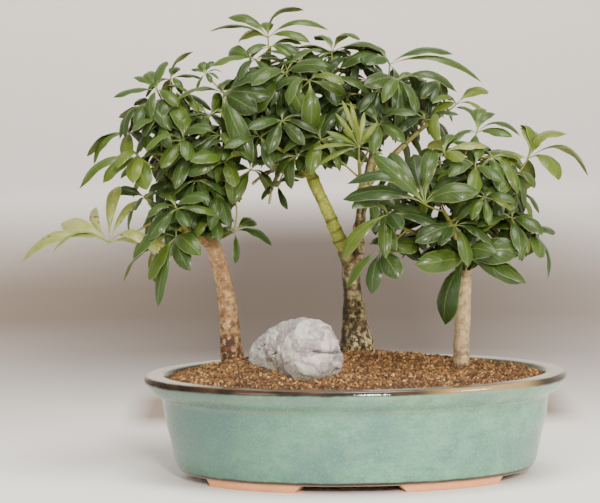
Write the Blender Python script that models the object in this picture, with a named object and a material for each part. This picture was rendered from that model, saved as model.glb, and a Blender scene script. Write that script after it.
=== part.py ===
# Umbrella tree bonsai forest: three Schefflera trees and a stone in an oval glazed pot.
# Lengths are in millimetres and become metres when a mesh is made. +Z is up and -Y faces the viewer.
# While it is modelled, the origin is the middle of the pot on the surface that it stands on.

import math
import random

import bmesh
import bpy
from mathutils import Quaternion, Vector, noise
from mathutils.bvhtree import BVHTree

mm = 0.001
gap = 0.3

# Pot: an oval whose half-width is its half-length less one constant inset.
potLength = 304.6
potHeight = 75.0
ovalInset = 38.0
lipWidth = 14.0
footHeight = 5.0
floorTop = 12.0
potSides = 40
drainHoleRadius = 8.0
drainHoleX = 70.0
drainSides = 16
# Where each foot starts and ends round the oval, in radians from +X.
footArcs = ((0.52, 1.25), (1.89, 2.62), (3.66, 4.39), (4.94, 5.70))
footWidth = 15.0
footInset = 27.5
footEndSlope = 0.05

# Soil: its top is a low mound of coarse gravel.
soilEdgeHeight = 72.0
soilRise = 7.0
soilEdgeRoom = 1.9
gravelRelief = 1.5
gravelRings = 11
trunkRoom = 0.4
stoneRoom = 0.65

# Drainage screens: square plastic nets that lie on the pot's floor.
screenCells = 5
screenCell = 6.0
screenThickness = 1.0

# Stone: a tall front lobe, a shoulder and a low back lobe, each a middle and half sizes, blended into one.
stoneMiddle = Vector((-46.0, -14.0, 88.0))
stoneLobes = ((Vector((-32.0, -36.0, 88.5)), Vector((21.5, 30.5, 28.5))),
              (Vector((-47.0, -15.0, 90.0)), Vector((17.0, 23.0, 24.0))),
              (Vector((-58.5, 1.0, 87.0)), Vector((16.5, 26.0, 17.0))))
stoneBlend = 6.0
stoneReach = 80.0
stoneBottom = 69.0
stoneFaceShare = 0.48

# Leaves.
bladeThickness = 1.5
bladeAspect = 0.40
clearRoom = 0.55
viewSlope = 0.07
leafletsEach = 5
# Along a blade: how far from its root to its tip, and what share of its full width it has there.
bladeStations = ((0.12, 0.11), (0.36, 0.76), (0.66, 1.0), (0.90, 0.62))
shortStations = ((0.16, 0.15), (0.52, 1.0), (0.86, 0.74))
tinyStations = ((0.36, 0.86), (0.80, 0.82))
shortBlade = 44.0
tinyBlade = 33.0
stalkRadius = 0.9
hubRadius = 2.3
rootDepth = 0.9
spareDroop = 0.1
drawsEach = 14


def pt(x, y, z):
    return Vector((x, y, z))


# Trunks: points up the middle line as (x, y, z, radius), then woody branches that end in a flat tip.
trunks = {
    "left": {
        "line": [(-87, 57, 52, 7.0), (-89.5, 59, 70, 7.6), (-90, 60, 80, 8.6), (-91, 60, 90, 7.8),
                 (-92.2, 61, 110, 7.2), (-93.8, 62, 125, 6.6), (-97, 63, 141, 6.2),
                 (-102, 64, 159, 6.0), (-107, 65, 172, 5.0), (-109, 65, 178, 3.0)],
        "sides": 8,
    },
    "centre": {
        "line": [(3, 70, 50, 9.0), (3.2, 71, 72, 10.5), (3.3, 72, 86, 13.2), (2.4, 72, 94, 10.6),
                 (1.4, 72, 110, 8.8), (0.3, 72, 124, 6.9), (-1.2, 72, 144, 6.6), (-5.5, 72, 157, 5.3),
                 (-14, 72, 178, 4.9), (-24, 72, 200, 4.6), (-29.5, 72, 213, 4.4), (-34, 72, 228, 3.5),
                 (-38, 71, 246, 3.0)],
        "sides": 8,
    },
    "right": {
        "line": [(76.7, 0, 48, 5.4), (76.7, 0, 71, 5.7), (76.8, 0, 82, 6.1), (77.4, 0, 98, 5.7),
                 (78.8, 0, 129, 5.6), (79.6, 0, 146, 5.7), (80.2, 0, 154, 4.8), (80.5, 0, 159, 2.8)],
        "sides": 8,
    },
}

# Each spray: the woody branch that carries it, its green stem, and its leaves.
# A leaf is its hub, its longest leaflet, and the reach of the leaflets seen from the front,
# as (across, up) and, where it matters, the blade's width. "at" is where its stalk leaves the stem.
sprays = [
    {"name": "left_low", "tree": "left",
     "branch": [(-103, 65, 163, 3.6), (-116, 57, 173, 3.0), (-126, 48, 177, 2.6)],
     "stem": [(-138, 42, 180), (-148, 37, 182)],
     "leaves": [
         {"hub": (-177, 20, 169), "size": 56, "at": 1.0,
          "seen": [(-64, -13, 14), (-37, 15, 17), (-12, 26, 10), (6, 42, 11), (22, 31, 8), (-39, -6, 11)]},
         {"hub": (-151, 45, 200), "size": 30, "at": 0.6, "seen": [(-6, -9), (-24, 6), (14, 12)]},
     ]},
    {"name": "left_side", "tree": "left",
     "branch": [(-106, 65, 169, 3.6), (-119, 62, 189, 2.8), (-127, 60, 203, 2.3)],
     "stem": [(-134, 57, 217), (-139, 54, 228)],
     "leaves": [
         {"hub": (-153, 35, 229), "size": 42, "at": 0.5,
          "seen": [(-46, -21, 13), (-16, -7), (-28, -17), (5, -23), (-5, -18)]},
         {"hub": (-163, 70, 247), "size": 38, "at": 0.8, "seen": [(-33, -17), (0, -24, 11), (-28, -23)]},
         {"hub": (-140, 48, 254), "size": 34, "at": 1.0, "seen": [(-18, -6), (-10, -10), (22, -8)]},
     ]},
    {"name": "left_top", "tree": "left",
     "branch": [(-107, 66, 172, 3.4), (-114, 70, 198, 2.8), (-121, 74, 226, 2.2)],
     "stem": [(-128, 73, 246), (-133, 71, 260)],
     "leaves": [
         {"hub": (-142, 60, 278), "size": 36, "at": 0.9,
          "seen": [(-32, -5), (-18, 12), (6, 23, 12), (-9, 15)]},
         {"hub": (-133, 76, 286), "size": 30, "at": 1.0, "seen": [(17, 21), (4, 10), (24, 0)]},
         {"hub": (-147, 88, 266), "size": 30, "at": 0.5, "seen": [(-12, 2), (-26, -8)]},
     ]},
    {"name": "left_tip", "tree": "left",
     "branch": [(-107, 62, 172, 3.2), (-109, 56, 192, 2.6), (-110, 51, 211, 2.2)],
     "stem": [(-112, 47, 225), (-113, 44, 237)],
     "leaves": [
         {"hub": (-122, 28, 242), "size": 38, "at": 0.7,
          "seen": [(-7, 27), (0, 21), (-16, -20), (-26, -8), (3, -15), (21, 7)]},
         {"hub": (-104, 50, 259), "size": 34, "at": 1.0, "seen": [(18, -10), (-20, 6), (8, 18), (24, 4)]},
     ]},
    {"name": "left_front", "tree": "left",
     "branch": [(-102, 63, 160, 3.4), (-111, 50, 168, 2.8), (-117, 38, 173, 2.3)],
     "stem": [(-121, 27, 177), (-124, 18, 183)],
     "leaves": [
         {"hub": (-127, 5, 194), "size": 34, "at": 1.0,
          "seen": [(24, 7), (9, -13), (-20, -6), (-20, -22), (-13, 10), (29, -4)]},
         {"hub": (-128, 12, 173), "size": 42, "at": 0.5,
          "seen": [(19, -13, 15), (-20, -31, 15), (-14, -50, 10), (-30, -15), (11, -24)]},
     ]},
    {"name": "left_right", "tree": "left",
     "branch": [(-104, 65, 166, 3.0), (-101, 62, 180, 2.6), (-97, 58, 192, 2.1)],
     "stem": [(-93, 52, 203), (-90, 46, 212)],
     "leaves": [
         {"hub": (-92, 25, 226), "size": 34, "at": 1.0,
          "seen": [(-25, 1, 14), (-28, -9), (7, -18, 13), (20, 0), (-19, 9)]},
         {"hub": (-87, 42, 174), "size": 34, "at": 0.7, "via": (-80, 44, 195),
          "seen": [(-20, -4, 14), (16, 7), (1, -23), (28, -10)]},
         {"hub": (-74, 50, 219), "size": 32, "at": 0.9, "seen": [(20, 4), (16, -14), (-4, 16)]},
     ]},
    {"name": "left_back", "tree": "left",
     "branch": [(-102, 67, 161, 3.4), (-112, 82, 176, 2.8), (-118, 93, 187, 2.3)],
     "stem": [(-124, 102, 200), (-128, 107, 212)],
     "leaves": [
         {"hub": (-152, 108, 157), "size": 36, "at": 0.1, "seen": [(-20, -24)]},
         {"hub": (-118, 122, 234), "size": 36, "at": 1.0, "seen": []},
         {"hub": (-150, 110, 223), "size": 36, "at": 0.8, "seen": []},
         {"hub": (-98, 112, 212), "size": 34, "at": 0.5, "seen": []},
     ]},
    {"name": "centre_left", "tree": "centre",
     "branch": [(-30, 72, 214, 3.0), (-44, 72, 216, 2.8), (-54, 70, 221, 2.6), (-57, 67, 236, 2.3),
                (-62, 60, 249, 2.0), (-70, 55, 257, 1.9)],
     "stem": [(-79, 51, 264), (-87, 48, 270)],
     "leaves": [
         {"hub": (-93, 42, 276), "size": 46, "at": 1.0,
          "seen": [(-32, -5, 13), (21, -51, 17), (25, -15), (6, 5)]},
         {"hub": (-106, 60, 290), "size": 16, "at": 0.8, "seen": [(-4, 9), (5, 10), (-11, 4)]},
     ]},
    {"name": "centre_top", "tree": "centre",
     "branch": [(-37, 71, 240, 2.8), (-45, 74, 252, 2.4), (-51, 76, 264, 2.1)],
     "stem": [(-56, 77, 281), (-60, 77, 298)],
     "leaves": [
         {"hub": (-60, 82, 316), "size": 44, "at": 1.0,
          "seen": [(-44, 5, 11), (-30, 17, 14), (-21, -5), (27, 22, 12), (45, 5, 11), (-1, 12)]},
         {"hub": (-58, 60, 309), "size": 28, "at": 0.9, "seen": [(-18, -7), (14, -2)]},
         {"hub": (-69, 47, 300), "size": 36, "at": 0.5, "seen": [(-32, -5), (-20, 8), (-12, -16)]},
     ]},
    {"name": "centre_middle", "tree": "centre",
     "branch": [(-36, 70, 236, 2.6), (-40, 60, 246, 2.2), (-42, 52, 254, 2.0)],
     "stem": [(-43, 45, 265), (-42, 38, 275)],
     "leaves": [
         {"hub": (-47, 34, 290), "size": 44, "at": 0.9,
          "seen": [(-40, -9, 14), (-25, -10), (-21, -29, 16), (28, 18, 15), (30, 3, 14)]},
         {"hub": (-30, 14, 285), "size": 38, "at": 1.0,
          "seen": [(0, -37, 17), (14, 10), (25, -4), (-15, -19, 13)]},
         {"hub": (-50, 12, 256), "size": 34, "at": 0.2, "seen": [(-24, -6), (-10, -24, 12), (16, -18)]},
     ]},
    {"name": "centre_peak", "tree": "centre",
     "branch": [(-34, 72, 228, 2.6), (-26, 74, 244, 2.2), (-20, 75, 257, 2.0)],
     "stem": [(-16, 73, 274), (-13, 70, 288)],
     "leaves": [
         {"hub": (-13, 65, 304), "size": 40, "at": 1.0,
          "seen": [(20, 7, 13), (37, 0, 12), (-26, 4), (-12, 12)]},
         {"hub": (-20, 52, 284), "size": 40, "at": 0.6, "seen": [(35, -12, 14), (-16, -14), (10, -20)]},
         {"hub": (4, 92, 299), "size": 34, "at": 0.8, "seen": []},
     ]},
    {"name": "centre_right", "tree": "centre",
     "branch": [(-1, 72, 143, 4.8), (4.8, 72, 154, 4.4), (6.5, 71, 178, 3.8), (12, 70, 210, 3.2),
                (19, 66, 240, 2.5)],
     "stem": [(24, 60, 259), (28, 54, 271)],
     "leaves": [
         {"hub": (34, 32, 284), "size": 44, "at": 1.0,
          "seen": [(43, -9, 13), (-12, -18, 11), (13, -26, 12), (-2, -46, 11), (-25, -5)]},
         {"hub": (30, 72, 295), "size": 48, "at": 0.9,
          "seen": [(47, 7, 12), (68, -14, 9), (-18, -2), (-24, 5)]},
     ]},
    {"name": "centre_far_right", "tree": "centre",
     "branch": [(11, 70, 204, 2.8), (27, 72, 223, 2.4), (42, 73, 237, 2.1)],
     "stem": [(56, 72, 249), (67, 71, 256)],
     "leaves": [
         {"hub": (79, 68, 265), "size": 34, "at": 1.0, "seen": [(25, 10), (20, -12), (-18, 8)]},
         {"hub": (58, 96, 269), "size": 36, "at": 0.6, "seen": []},
         {"hub": (54, 42, 255), "size": 36, "at": 0.4, "seen": [(-22, -12), (14, -22), (24, 2)]},
     ]},
    {"name": "centre_young", "tree": "centre",
     "branch": [(7, 71, 184, 2.6), (7, 57, 196, 2.2), (7, 45, 205, 2.0)],
     "stem": [(6, 30, 217), (5, 14, 226)],
     "leaves": [
         {"hub": (5, -2, 237), "size": 28, "at": 1.0,
          "seen": [(-11, 14, 8), (-3, 21, 8), (8, 13, 8), (12, 9, 7), (-33, -1, 9), (-30, -13, 9)]},
         {"hub": (20, 18, 252), "size": 36, "at": 0.7, "seen": [(26, 6), (-14, 16), (18, -14)]},
         {"hub": (-22, 20, 242), "size": 36, "at": 0.3, "seen": [(-28, -10), (-20, 12), (4, 20), (-8, -26)]},
     ]},
    {"name": "centre_low", "tree": "centre",
     "branch": [(-31, 71, 215, 2.6), (-38, 60, 222, 2.2), (-44, 50, 227, 1.9)],
     "stem": [(-50, 41, 233), (-56, 33, 237)],
     "leaves": [
         {"hub": (-66, 22, 244), "size": 36, "at": 1.0, "seen": [(-26, -8), (-16, 14), (8, -24), (20, 8)]},
         {"hub": (-54, 58, 208), "size": 24, "at": 0.1, "seen": [(7, -19), (-12, -12), (16, 2)]},
         {"hub": (-40, 20, 230), "size": 34, "at": 0.6, "seen": [(22, -8), (-4, -24), (18, 12)]},
     ]},
    {"name": "centre_back_left", "tree": "centre",
     "branch": [(-31, 73, 216, 2.8), (-35, 88, 228, 2.4), (-38, 98, 239, 2.1)],
     "stem": [(-43, 109, 255), (-46, 115, 269)],
     "leaves": [
         {"hub": (-64, 120, 282), "size": 38, "at": 1.0, "seen": []},
         {"hub": (-36, 134, 288), "size": 38, "at": 0.9, "seen": []},
         {"hub": (-20, 112, 270), "size": 34, "at": 0.5, "seen": []},
     ]},
    {"name": "centre_back_right", "tree": "centre",
     "branch": [(10, 71, 198, 2.8), (16, 86, 216, 2.4), (20, 98, 229, 2.1)],
     "stem": [(26, 109, 246), (30, 115, 262)],
     "leaves": [
         {"hub": (16, 128, 280), "size": 38, "at": 1.0, "seen": []},
         {"hub": (50, 120, 276), "size": 38, "at": 0.8, "seen": []},
         {"hub": (36, 134, 246), "size": 34, "at": 0.4, "seen": []},
     ]},
    {"name": "right_low", "tree": "right",
     "branch": [(79.4, 0, 142, 3.2), (80, -10, 148, 2.6), (80, -16, 152, 2.2)],
     "stem": [(80, -21, 155), (79, -26, 158)],
     "leaves": [
         {"hub": (80, -28, 158), "size": 48, "at": 0.6,
          "seen": [(-38, -4, 13), (18, 4, 12), (36, 6), (41, -18, 11), (-16, -47, 16)]},
         {"hub": (71, -38, 182), "size": 38, "at": 1.0,
          "seen": [(-29, -11, 15), (-11, -14), (26, -14, 14)]},
     ]},
    {"name": "right_front", "tree": "right",
     "branch": [(80, -1, 151, 3.0), (75, -13, 166, 2.6), (71, -21, 177, 2.2)],
     "stem": [(67, -31, 186), (63, -40, 193)],
     "leaves": [
         {"hub": (49, -60, 199), "size": 56, "at": 1.0,
          "seen": [(-54, 15, 11), (-57, 4, 12), (-36, 35, 11), (-23, 37, 10), (-6, 36, 12), (8, 39, 11),
                   (35, 18, 15)]},
         {"hub": (92, -42, 202), "size": 28, "at": 0.4, "seen": [(13, 7), (20, -4), (-10, -16)]},
     ]},
    {"name": "right_left", "tree": "right",
     "branch": [(80, 0, 153, 3.0), (67, -3, 164, 2.6), (55, -8, 171, 2.2)],
     "stem": [(44, -16, 176), (36, -22, 179)],
     "leaves": [
         {"hub": (24, -40, 191), "size": 46, "at": 1.0,
          "seen": [(-33, -31, 13), (-3, -31, 11), (8, -11), (-8, 7), (-26, 4)]},
         {"hub": (19, -30, 165), "size": 38, "at": 0.9, "seen": [(-25, -27, 9), (-7, -31, 10), (12, -20)]},
         {"hub": (34, 8, 170), "size": 32, "at": 0.2, "seen": [(-18, 6), (14, -16), (-10, -18)]},
     ]},
    {"name": "right_side", "tree": "right",
     "branch": [(80, 0, 150, 2.8), (94, 0, 160, 2.4), (104, 0, 165, 2.1)],
     "stem": [(112, -1, 169), (118, -2, 172)],
     "leaves": [
         {"hub": (127, -3, 174), "size": 38, "at": 1.0,
          "seen": [(-19, 21, 15), (-25, 11), (14, -2), (12, -35, 9), (4, -18)]},
         {"hub": (112, -26, 186), "size": 36, "at": 0.5, "seen": [(-26, -6, 13), (20, -12), (4, -24, 12)]},
     ]},
    {"name": "right_top", "tree": "right",
     "branch": [(80.3, 0, 153, 3.2), (80, 2, 181, 2.6), (80, 2, 202, 2.2)],
     "stem": [(80, 0, 217), (79, -2, 229)],
     "leaves": [
         {"hub": (90, 5, 246), "size": 34, "at": 1.0,
          "seen": [(-13, 19), (5, 18), (14, 14), (30, -3), (24, -4), (-19, -8)]},
         {"hub": (65, -22, 233), "size": 38, "at": 0.8,
          "seen": [(-6, 29, 11), (7, 12), (31, 4), (11, -7), (-11, 7)]},
         {"hub": (86, -32, 224), "size": 34, "at": 0.4, "seen": [(-20, -8), (18, -12), (4, 18), (-4, -22)]},
     ]},
    {"name": "right_far", "tree": "right",
     "branch": [(80.2, 1, 152, 2.8), (94, 4, 178, 2.4), (103, 6, 193, 2.1)],
     "stem": [(111, 7, 204), (118, 8, 213)],
     "leaves": [
         {"hub": (127, 15, 226), "size": 42, "at": 1.0,
          "seen": [(2, 21), (-2, 24), (29, 18), (44, -13, 12), (20, -16)]},
         {"hub": (114, -15, 216), "size": 32, "at": 0.5, "seen": [(-18, 17), (13, -10), (-12, -14)]},
     ]},
    {"name": "right_back", "tree": "right",
     "branch": [(80.3, 1, 153, 3.0), (82, 14, 172, 2.6), (83, 26, 189, 2.2)],
     "stem": [(83, 36, 202), (83, 43, 213)],
     "leaves": [
         {"hub": (66, 56, 231), "size": 36, "at": 1.0, "seen": []},
         {"hub": (102, 54, 227), "size": 36, "at": 0.8, "seen": []},
         {"hub": (84, 72, 210), "size": 34, "at": 0.6, "seen": []},
         {"hub": (112, 40, 197), "size": 34, "at": 0.2, "seen": []},
     ]},
]

# Bare twigs left where old leaves fell, on the centre tree.
bareTwigs = [
    [(-52, 70, 219, 1.5), (-58, 68, 206, 1.1), (-61, 66, 193, 0.9)],
    [(-53, 70, 220, 1.5), (-64, 67, 215, 1.1), (-73, 65, 208, 0.9)],
]

crownMiddle = {"left": pt(-124, 62, 211), "centre": pt(-5, 72, 261), "right": pt(82, 4, 199)}

colours = {
    "pot": ((0.26, 0.42, 0.34), 0.25),
    "soil": ((0.37, 0.22, 0.1), 0.95),
    "stone": ((0.55, 0.56, 0.55), 0.85),
    "bark": ((0.42, 0.3, 0.18), 0.85),
    "screen": ((0.03, 0.03, 0.03), 0.6),
    "leaf": ((0.06, 0.13, 0.04), 0.35),
}


def clearScene():
    for item in list(bpy.data.objects):
        bpy.data.objects.remove(item, do_unlink=True)


def material(name):
    found = bpy.data.materials.get(name)
    if found:
        return found
    made = bpy.data.materials.new(name)
    made.use_nodes = True
    shader = made.node_tree.nodes["Principled BSDF"]
    colour, roughness = colours[name]
    shader.inputs["Base Color"].default_value = (*colour, 1.0)
    shader.inputs["Roughness"].default_value = roughness
    shader.inputs["Metallic"].default_value = 0.0
    return made


def meshObject(name, verts, faces, finish, smooth=False):
    mesh = bpy.data.meshes.new(name)
    mesh.from_pydata([v * mm for v in verts], [], faces)
    mesh.update()
    made = bpy.data.objects.new(name, mesh)
    bpy.context.scene.collection.objects.link(made)
    mesh.materials.append(material(finish))
    if smooth:
        mesh.shade_smooth()
        mesh.set_sharp_from_angle(angle=math.radians(40))
    return made


# One Boolean join of everything in a list with the first object, which keeps its name.
def joined(base, others):
    group = bpy.data.collections.new("joining")
    bpy.context.scene.collection.children.link(group)
    for other in others:
        group.objects.link(other)
    join = base.modifiers.new("join", "BOOLEAN")
    join.operation = "UNION"
    join.operand_type = "COLLECTION"
    join.collection = group
    join.solver = "MANIFOLD"
    applyModifiers(base)
    for other in others:
        bpy.data.objects.remove(other, do_unlink=True)
    bpy.data.collections.remove(group)
    return base


def cut(base, cutter):
    cutter.hide_render = True
    cutter.display_type = "WIRE"
    take = base.modifiers.new("cut", "BOOLEAN")
    take.operation = "DIFFERENCE"
    take.object = cutter
    take.solver = "MANIFOLD"
    applyModifiers(base)
    bpy.data.objects.remove(cutter, do_unlink=True)
    return base


def applyModifiers(item):
    bpy.context.view_layer.update()
    seen = item.evaluated_get(bpy.context.evaluated_depsgraph_get())
    done = bpy.data.meshes.new_from_object(seen)
    item.modifiers.clear()
    item.data = done


# A smooth line through hand-placed points. Each point may carry a radius as its fourth number.
def smoothLine(points, perSpan):
    rows = [tuple(p) for p in points]
    first = tuple(2 * a - b for a, b in zip(rows[0], rows[1]))
    last = tuple(2 * a - b for a, b in zip(rows[-1], rows[-2]))
    rows = [first] + rows + [last]
    out = []
    for i in range(1, len(rows) - 2):
        for step in range(perSpan):
            t = step / perSpan
            out.append(tuple(
                0.5 * (2 * b + (c - a) * t + (2 * a - 5 * b + 4 * c - d) * t * t
                       + (3 * b - a - 3 * c + d) * t ** 3)
                for a, b, c, d in zip(rows[i - 1], rows[i], rows[i + 1], rows[i + 2])))
    out.append(rows[-2])
    return out


# A closed tube along points, with a flat end at each end.
def tube(points, radii, sides, lastWay=None, firstWay=None):
    verts, faces = [], []
    side = None
    last = len(points) - 1
    for i, point in enumerate(points):
        way = points[min(i + 1, last)] - points[max(i - 1, 0)]
        if i == last and lastWay:
            way = lastWay
        if i == 0 and firstWay:
            way = firstWay
        way = way.normalized()
        if side is None:
            side = way.orthogonal()
        side = (side - way * side.dot(way)).normalized()
        up = way.cross(side)
        for k in range(sides):
            turn = 2 * math.pi * k / sides
            verts.append(point + radii[i] * (math.cos(turn) * side + math.sin(turn) * up))
    for i in range(last):
        for k in range(sides):
            a = i * sides + k
            b = i * sides + (k + 1) % sides
            faces.append((a, b, b + sides, a + sides))
    faces.append(tuple(reversed(range(sides))))
    faces.append(tuple(range(last * sides, (last + 1) * sides)))
    return verts, faces


# One leaflet: a thin arched blade from a hub to its tip, flat below and ridged along its midrib above.
# "grow" thickens it for the test of its clearance.
def blade(hub, tip, axis, width, arch, twist, grow=0.0):
    reach = tip - hub
    length = reach.length
    along = reach / length
    across = along.cross(axis)
    if across.length < 0.25:
        across = along.cross(pt(0.94, -0.3, 0.1))
    across = Quaternion(along, twist) @ across.normalized()
    lift = across.cross(along)
    middle = hub + along * (0.5 * length) + lift * (arch * length)
    root = hub + along * rootDepth
    end = tip + along * grow
    half = 0.5 * width
    stations = bladeStations
    if length < shortBlade:
        stations = tinyStations if length < tinyBlade else shortStations
    verts, faces = [root], []
    for s, share in stations:
        centre = root * (1 - s) ** 2 + middle * (2 * s * (1 - s)) + tip * s ** 2
        tangent = (middle - root) * (1 - s) + (tip - middle) * s
        normal = across.cross(tangent).normalized()
        reachOut = half * share + grow
        low = centre - normal * (0.5 * bladeThickness + grow)
        verts += [low + across * reachOut, low - across * reachOut,
                  centre + normal * (0.5 * bladeThickness + grow)]
    verts.append(end)
    last = len(verts) - 1
    for k in range(3):
        nextK = (k + 1) % 3
        faces.append((0, 1 + nextK, 1 + k))
        for a in range(1 + k, last - 3, 3):
            b = a - k + nextK
            faces += [(a, b, b + 3), (a, b + 3, a + 3)] if k < 2 else [(a, b, a + 3), (b, b + 3, a + 3)]
        faces.append((last - 3 + k, last - 3 + nextK, last))
    return verts, faces


def xyz(point):
    return pt(point[0], point[1], point[2])


def polyline(points, perSpan):
    rows = smoothLine(points, perSpan)
    return [xyz(row) for row in rows], [row[3] for row in rows]


# The green stem starts face to face with the flat tip of its branch.
def stemLine(spray):
    branch = [xyz(row) for row in spray["branch"]]
    way = (branch[-1] - branch[-2]).normalized()
    start = branch[-1] + way * gap
    line = [start, start + way * 3] + [pt(*point) for point in spray["stem"]]
    first = spray["branch"][-1][3] - 0.1
    last = 1.3
    steps = len(line) - 1
    return line, [first + (last - first) * i / steps for i in range(len(line))], way


def alongLine(line, share):
    lengths = [0.0]
    for a, b in zip(line, line[1:]):
        lengths.append(lengths[-1] + (b - a).length)
    want = share * lengths[-1]
    for i in range(1, len(line)):
        if lengths[i] >= want or i == len(line) - 1:
            span = lengths[i] - lengths[i - 1]
            t = (want - lengths[i - 1]) / span
            return line[i - 1].lerp(line[i], min(1.0, t))


# A leaf stalk, which widens into the hub that its leaflets spread from.
def stalk(leaf, line):
    hub = pt(*leaf["hub"])
    start = alongLine(line, min(leaf["at"], 0.97))
    span = hub - start
    if "via" in leaf:
        middle = pt(*leaf["via"])
    else:
        middle = start + span * 0.5 - pt(0, 0, 0.06 * span.length)
    way = (hub - middle).normalized()
    middle = start * 0.25 + middle * 0.5 + hub * 0.25
    points = [start, middle, hub - way * 2.2, hub, hub + way * 1.4]
    return tube(points, [stalkRadius * 1.2, stalkRadius, stalkRadius, hubRadius, 1.2], 3)


# The way a leaf faces: up, and outward from the middle of its crown.
def leafAxis(spray, leaf):
    out = pt(*leaf["hub"]) - crownMiddle[spray["tree"]]
    out.z *= 0.4
    if out.length > 1:
        out = out.normalized()
    return (pt(0, 0, 1) + out * 0.75).normalized()


# Leaflets seen in the front view: the depth of each tip follows from the leaflet's length.
def seenReach(leaf, index):
    across, up = leaf["seen"][index][:2]
    size = leaf["size"] * (0.96 - 0.07 * (index % 3))
    flat = math.hypot(across, up)
    depth = math.sqrt(max(0.0, size * size - flat * flat))
    depth = min(depth, 0.8 * size)
    back = up > 0.25 * size
    if abs(up) <= 0.25 * size and index % 2:
        back = pt(*leaf["hub"]).y > 40
    return across, up, depth if back else -depth


# The other leaflets fill the widest spaces left round the hub.
def spareReaches(leaf, axis, taken, count, rand):
    first = axis.orthogonal().normalized()
    second = axis.cross(first)
    turns = sorted(math.atan2(v.dot(second), v.dot(first)) for v in taken)
    if not turns:
        turns = [rand.uniform(-math.pi, math.pi)]
    out = []
    for _ in range(count):
        turns.sort()
        spaces = [(turns[(i + 1) % len(turns)] - turns[i]) % (2 * math.pi) or 2 * math.pi
                  for i in range(len(turns))]
        widest = spaces.index(max(spaces))
        turn = turns[widest] + 0.5 * spaces[widest] + rand.uniform(-0.15, 0.15)
        turns.append((turn + math.pi) % (2 * math.pi) - math.pi)
        pitch = -rand.uniform(0.15, 0.6)
        length = leaf["size"] * rand.uniform(0.72, 0.98)
        out.append((turn, pitch, length))
    return first, second, out


# What stands in each node's way, as search trees with their boxes.
class Crowd:
    def __init__(self):
        self.items = []

    def box(self, verts):
        return (pt(*(min(v[i] for v in verts) for i in range(3))),
                pt(*(max(v[i] for v in verts) for i in range(3))))

    def add(self, owner, verts, faces):
        low, high = self.box(verts)
        self.items.append((owner, BVHTree.FromPolygons(verts, faces), low, high))

    def free(self, owner, verts, faces):
        low, high = self.box(verts)
        tree = None
        for other, shape, otherLow, otherHigh in self.items:
            if other == owner:
                continue
            if any(low[i] > otherHigh[i] or high[i] < otherLow[i] for i in range(3)):
                continue
            tree = tree or BVHTree.FromPolygons(verts, faces)
            if tree.overlap(shape):
                return False
        return True


# What a leaflet tries in turn until it has room: shifts of its depth, turns round the hub, pitches.
seenShifts = (0, -5, 5, -10, 10, -16, 16, -22, 22, -28, 28)
spareTurns = (0, 0.2, -0.2, 0.4, -0.4, 0.6, -0.6)
sparePitches = (0, -0.25, 0.25, -0.5, 0.5)


# Finds room for every leaflet, first those seen from the front and then the others.
def placeLeaflets(crowd):
    placed = {spray["name"]: [] for spray in sprays}
    order = []
    for spray in sprays:
        for number, leaf in enumerate(spray["leaves"]):
            rand = random.Random(f"{spray['name']} {number}")
            twists = [rand.uniform(-0.35, 0.35) for _ in range(drawsEach)]
            arches = [rand.uniform(0.1, 0.24) for _ in range(drawsEach)]
            axis = leafAxis(spray, leaf)
            order.append((spray["name"], leaf, axis, twists, arches, rand))

    def tryBlade(name, hub, tip, axis, width, arch, twist):
        verts, faces = blade(hub, tip, axis, width, arch, twist, clearRoom)
        if not crowd.free(name, verts, faces):
            return False
        verts, faces = blade(hub, tip, axis, width, arch, twist)
        crowd.add(name, verts, faces)
        placed[name].append((verts, faces))
        return True

    reaches = {}
    for name, leaf, axis, twists, arches, rand in order:
        hub = pt(*leaf["hub"])
        taken = []
        for index, seen in enumerate(leaf["seen"]):
            across, up, depth = seenReach(leaf, index)
            done = False
            for shrink in (1.0, 0.85, 0.7):
                for shift in seenShifts:
                    newDepth = depth + shift
                    reach = pt(across, newDepth, up - viewSlope * newDepth) * shrink
                    width = seen[2] if len(seen) > 2 else bladeAspect * max(22.0, reach.length)
                    if tryBlade(name, hub, hub + reach, axis, width * shrink, arches[index],
                                twists[index]):
                        taken.append(reach)
                        done = True
                        break
                if done:
                    break
        reaches[leaf["hub"]] = taken
    for name, leaf, axis, twists, arches, rand in order:
        hub = pt(*leaf["hub"])
        count = max(0, leafletsEach - len(leaf["seen"]))
        first, second, spare = spareReaches(leaf, axis, reaches[leaf["hub"]], count, rand)
        for index, (turn, pitch, length) in enumerate(spare):
            done = False
            for shrink in (1.0, 0.8):
                for addPitch in sparePitches:
                    for addTurn in spareTurns:
                        a, p = turn + addTurn, pitch + addPitch
                        way = (first * math.cos(a) + second * math.sin(a)) * math.cos(p) + axis * math.sin(p)
                        tip = hub + way * length * shrink - pt(0, 0, spareDroop * length)
                        if tryBlade(name, hub, tip, axis, bladeAspect * length * shrink,
                                    arches[6 + index], twists[6 + index]):
                            done = True
                            break
                    if done:
                        break
                if done:
                    break
    return placed


def loft(rings, closeBottom=True, closeTop=True):
    sides = len(rings[0])
    verts = [v for ring in rings for v in ring]
    faces = []
    for i in range(len(rings) - 1):
        for k in range(sides):
            a = i * sides + k
            b = i * sides + (k + 1) % sides
            faces.append((a, b, b + sides, a + sides))
    if closeBottom:
        faces.append(tuple(reversed(range(sides))))
    if closeTop:
        last = (len(rings) - 1) * sides
        faces.append(tuple(range(last, last + sides)))
    return verts, faces


def ovalRing(halfLength, z, sides=potSides):
    halfWidth = halfLength - ovalInset
    return [pt(halfLength * math.cos(2 * math.pi * k / sides), halfWidth * math.sin(2 * math.pi * k / sides), z)
            for k in range(sides)]


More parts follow.
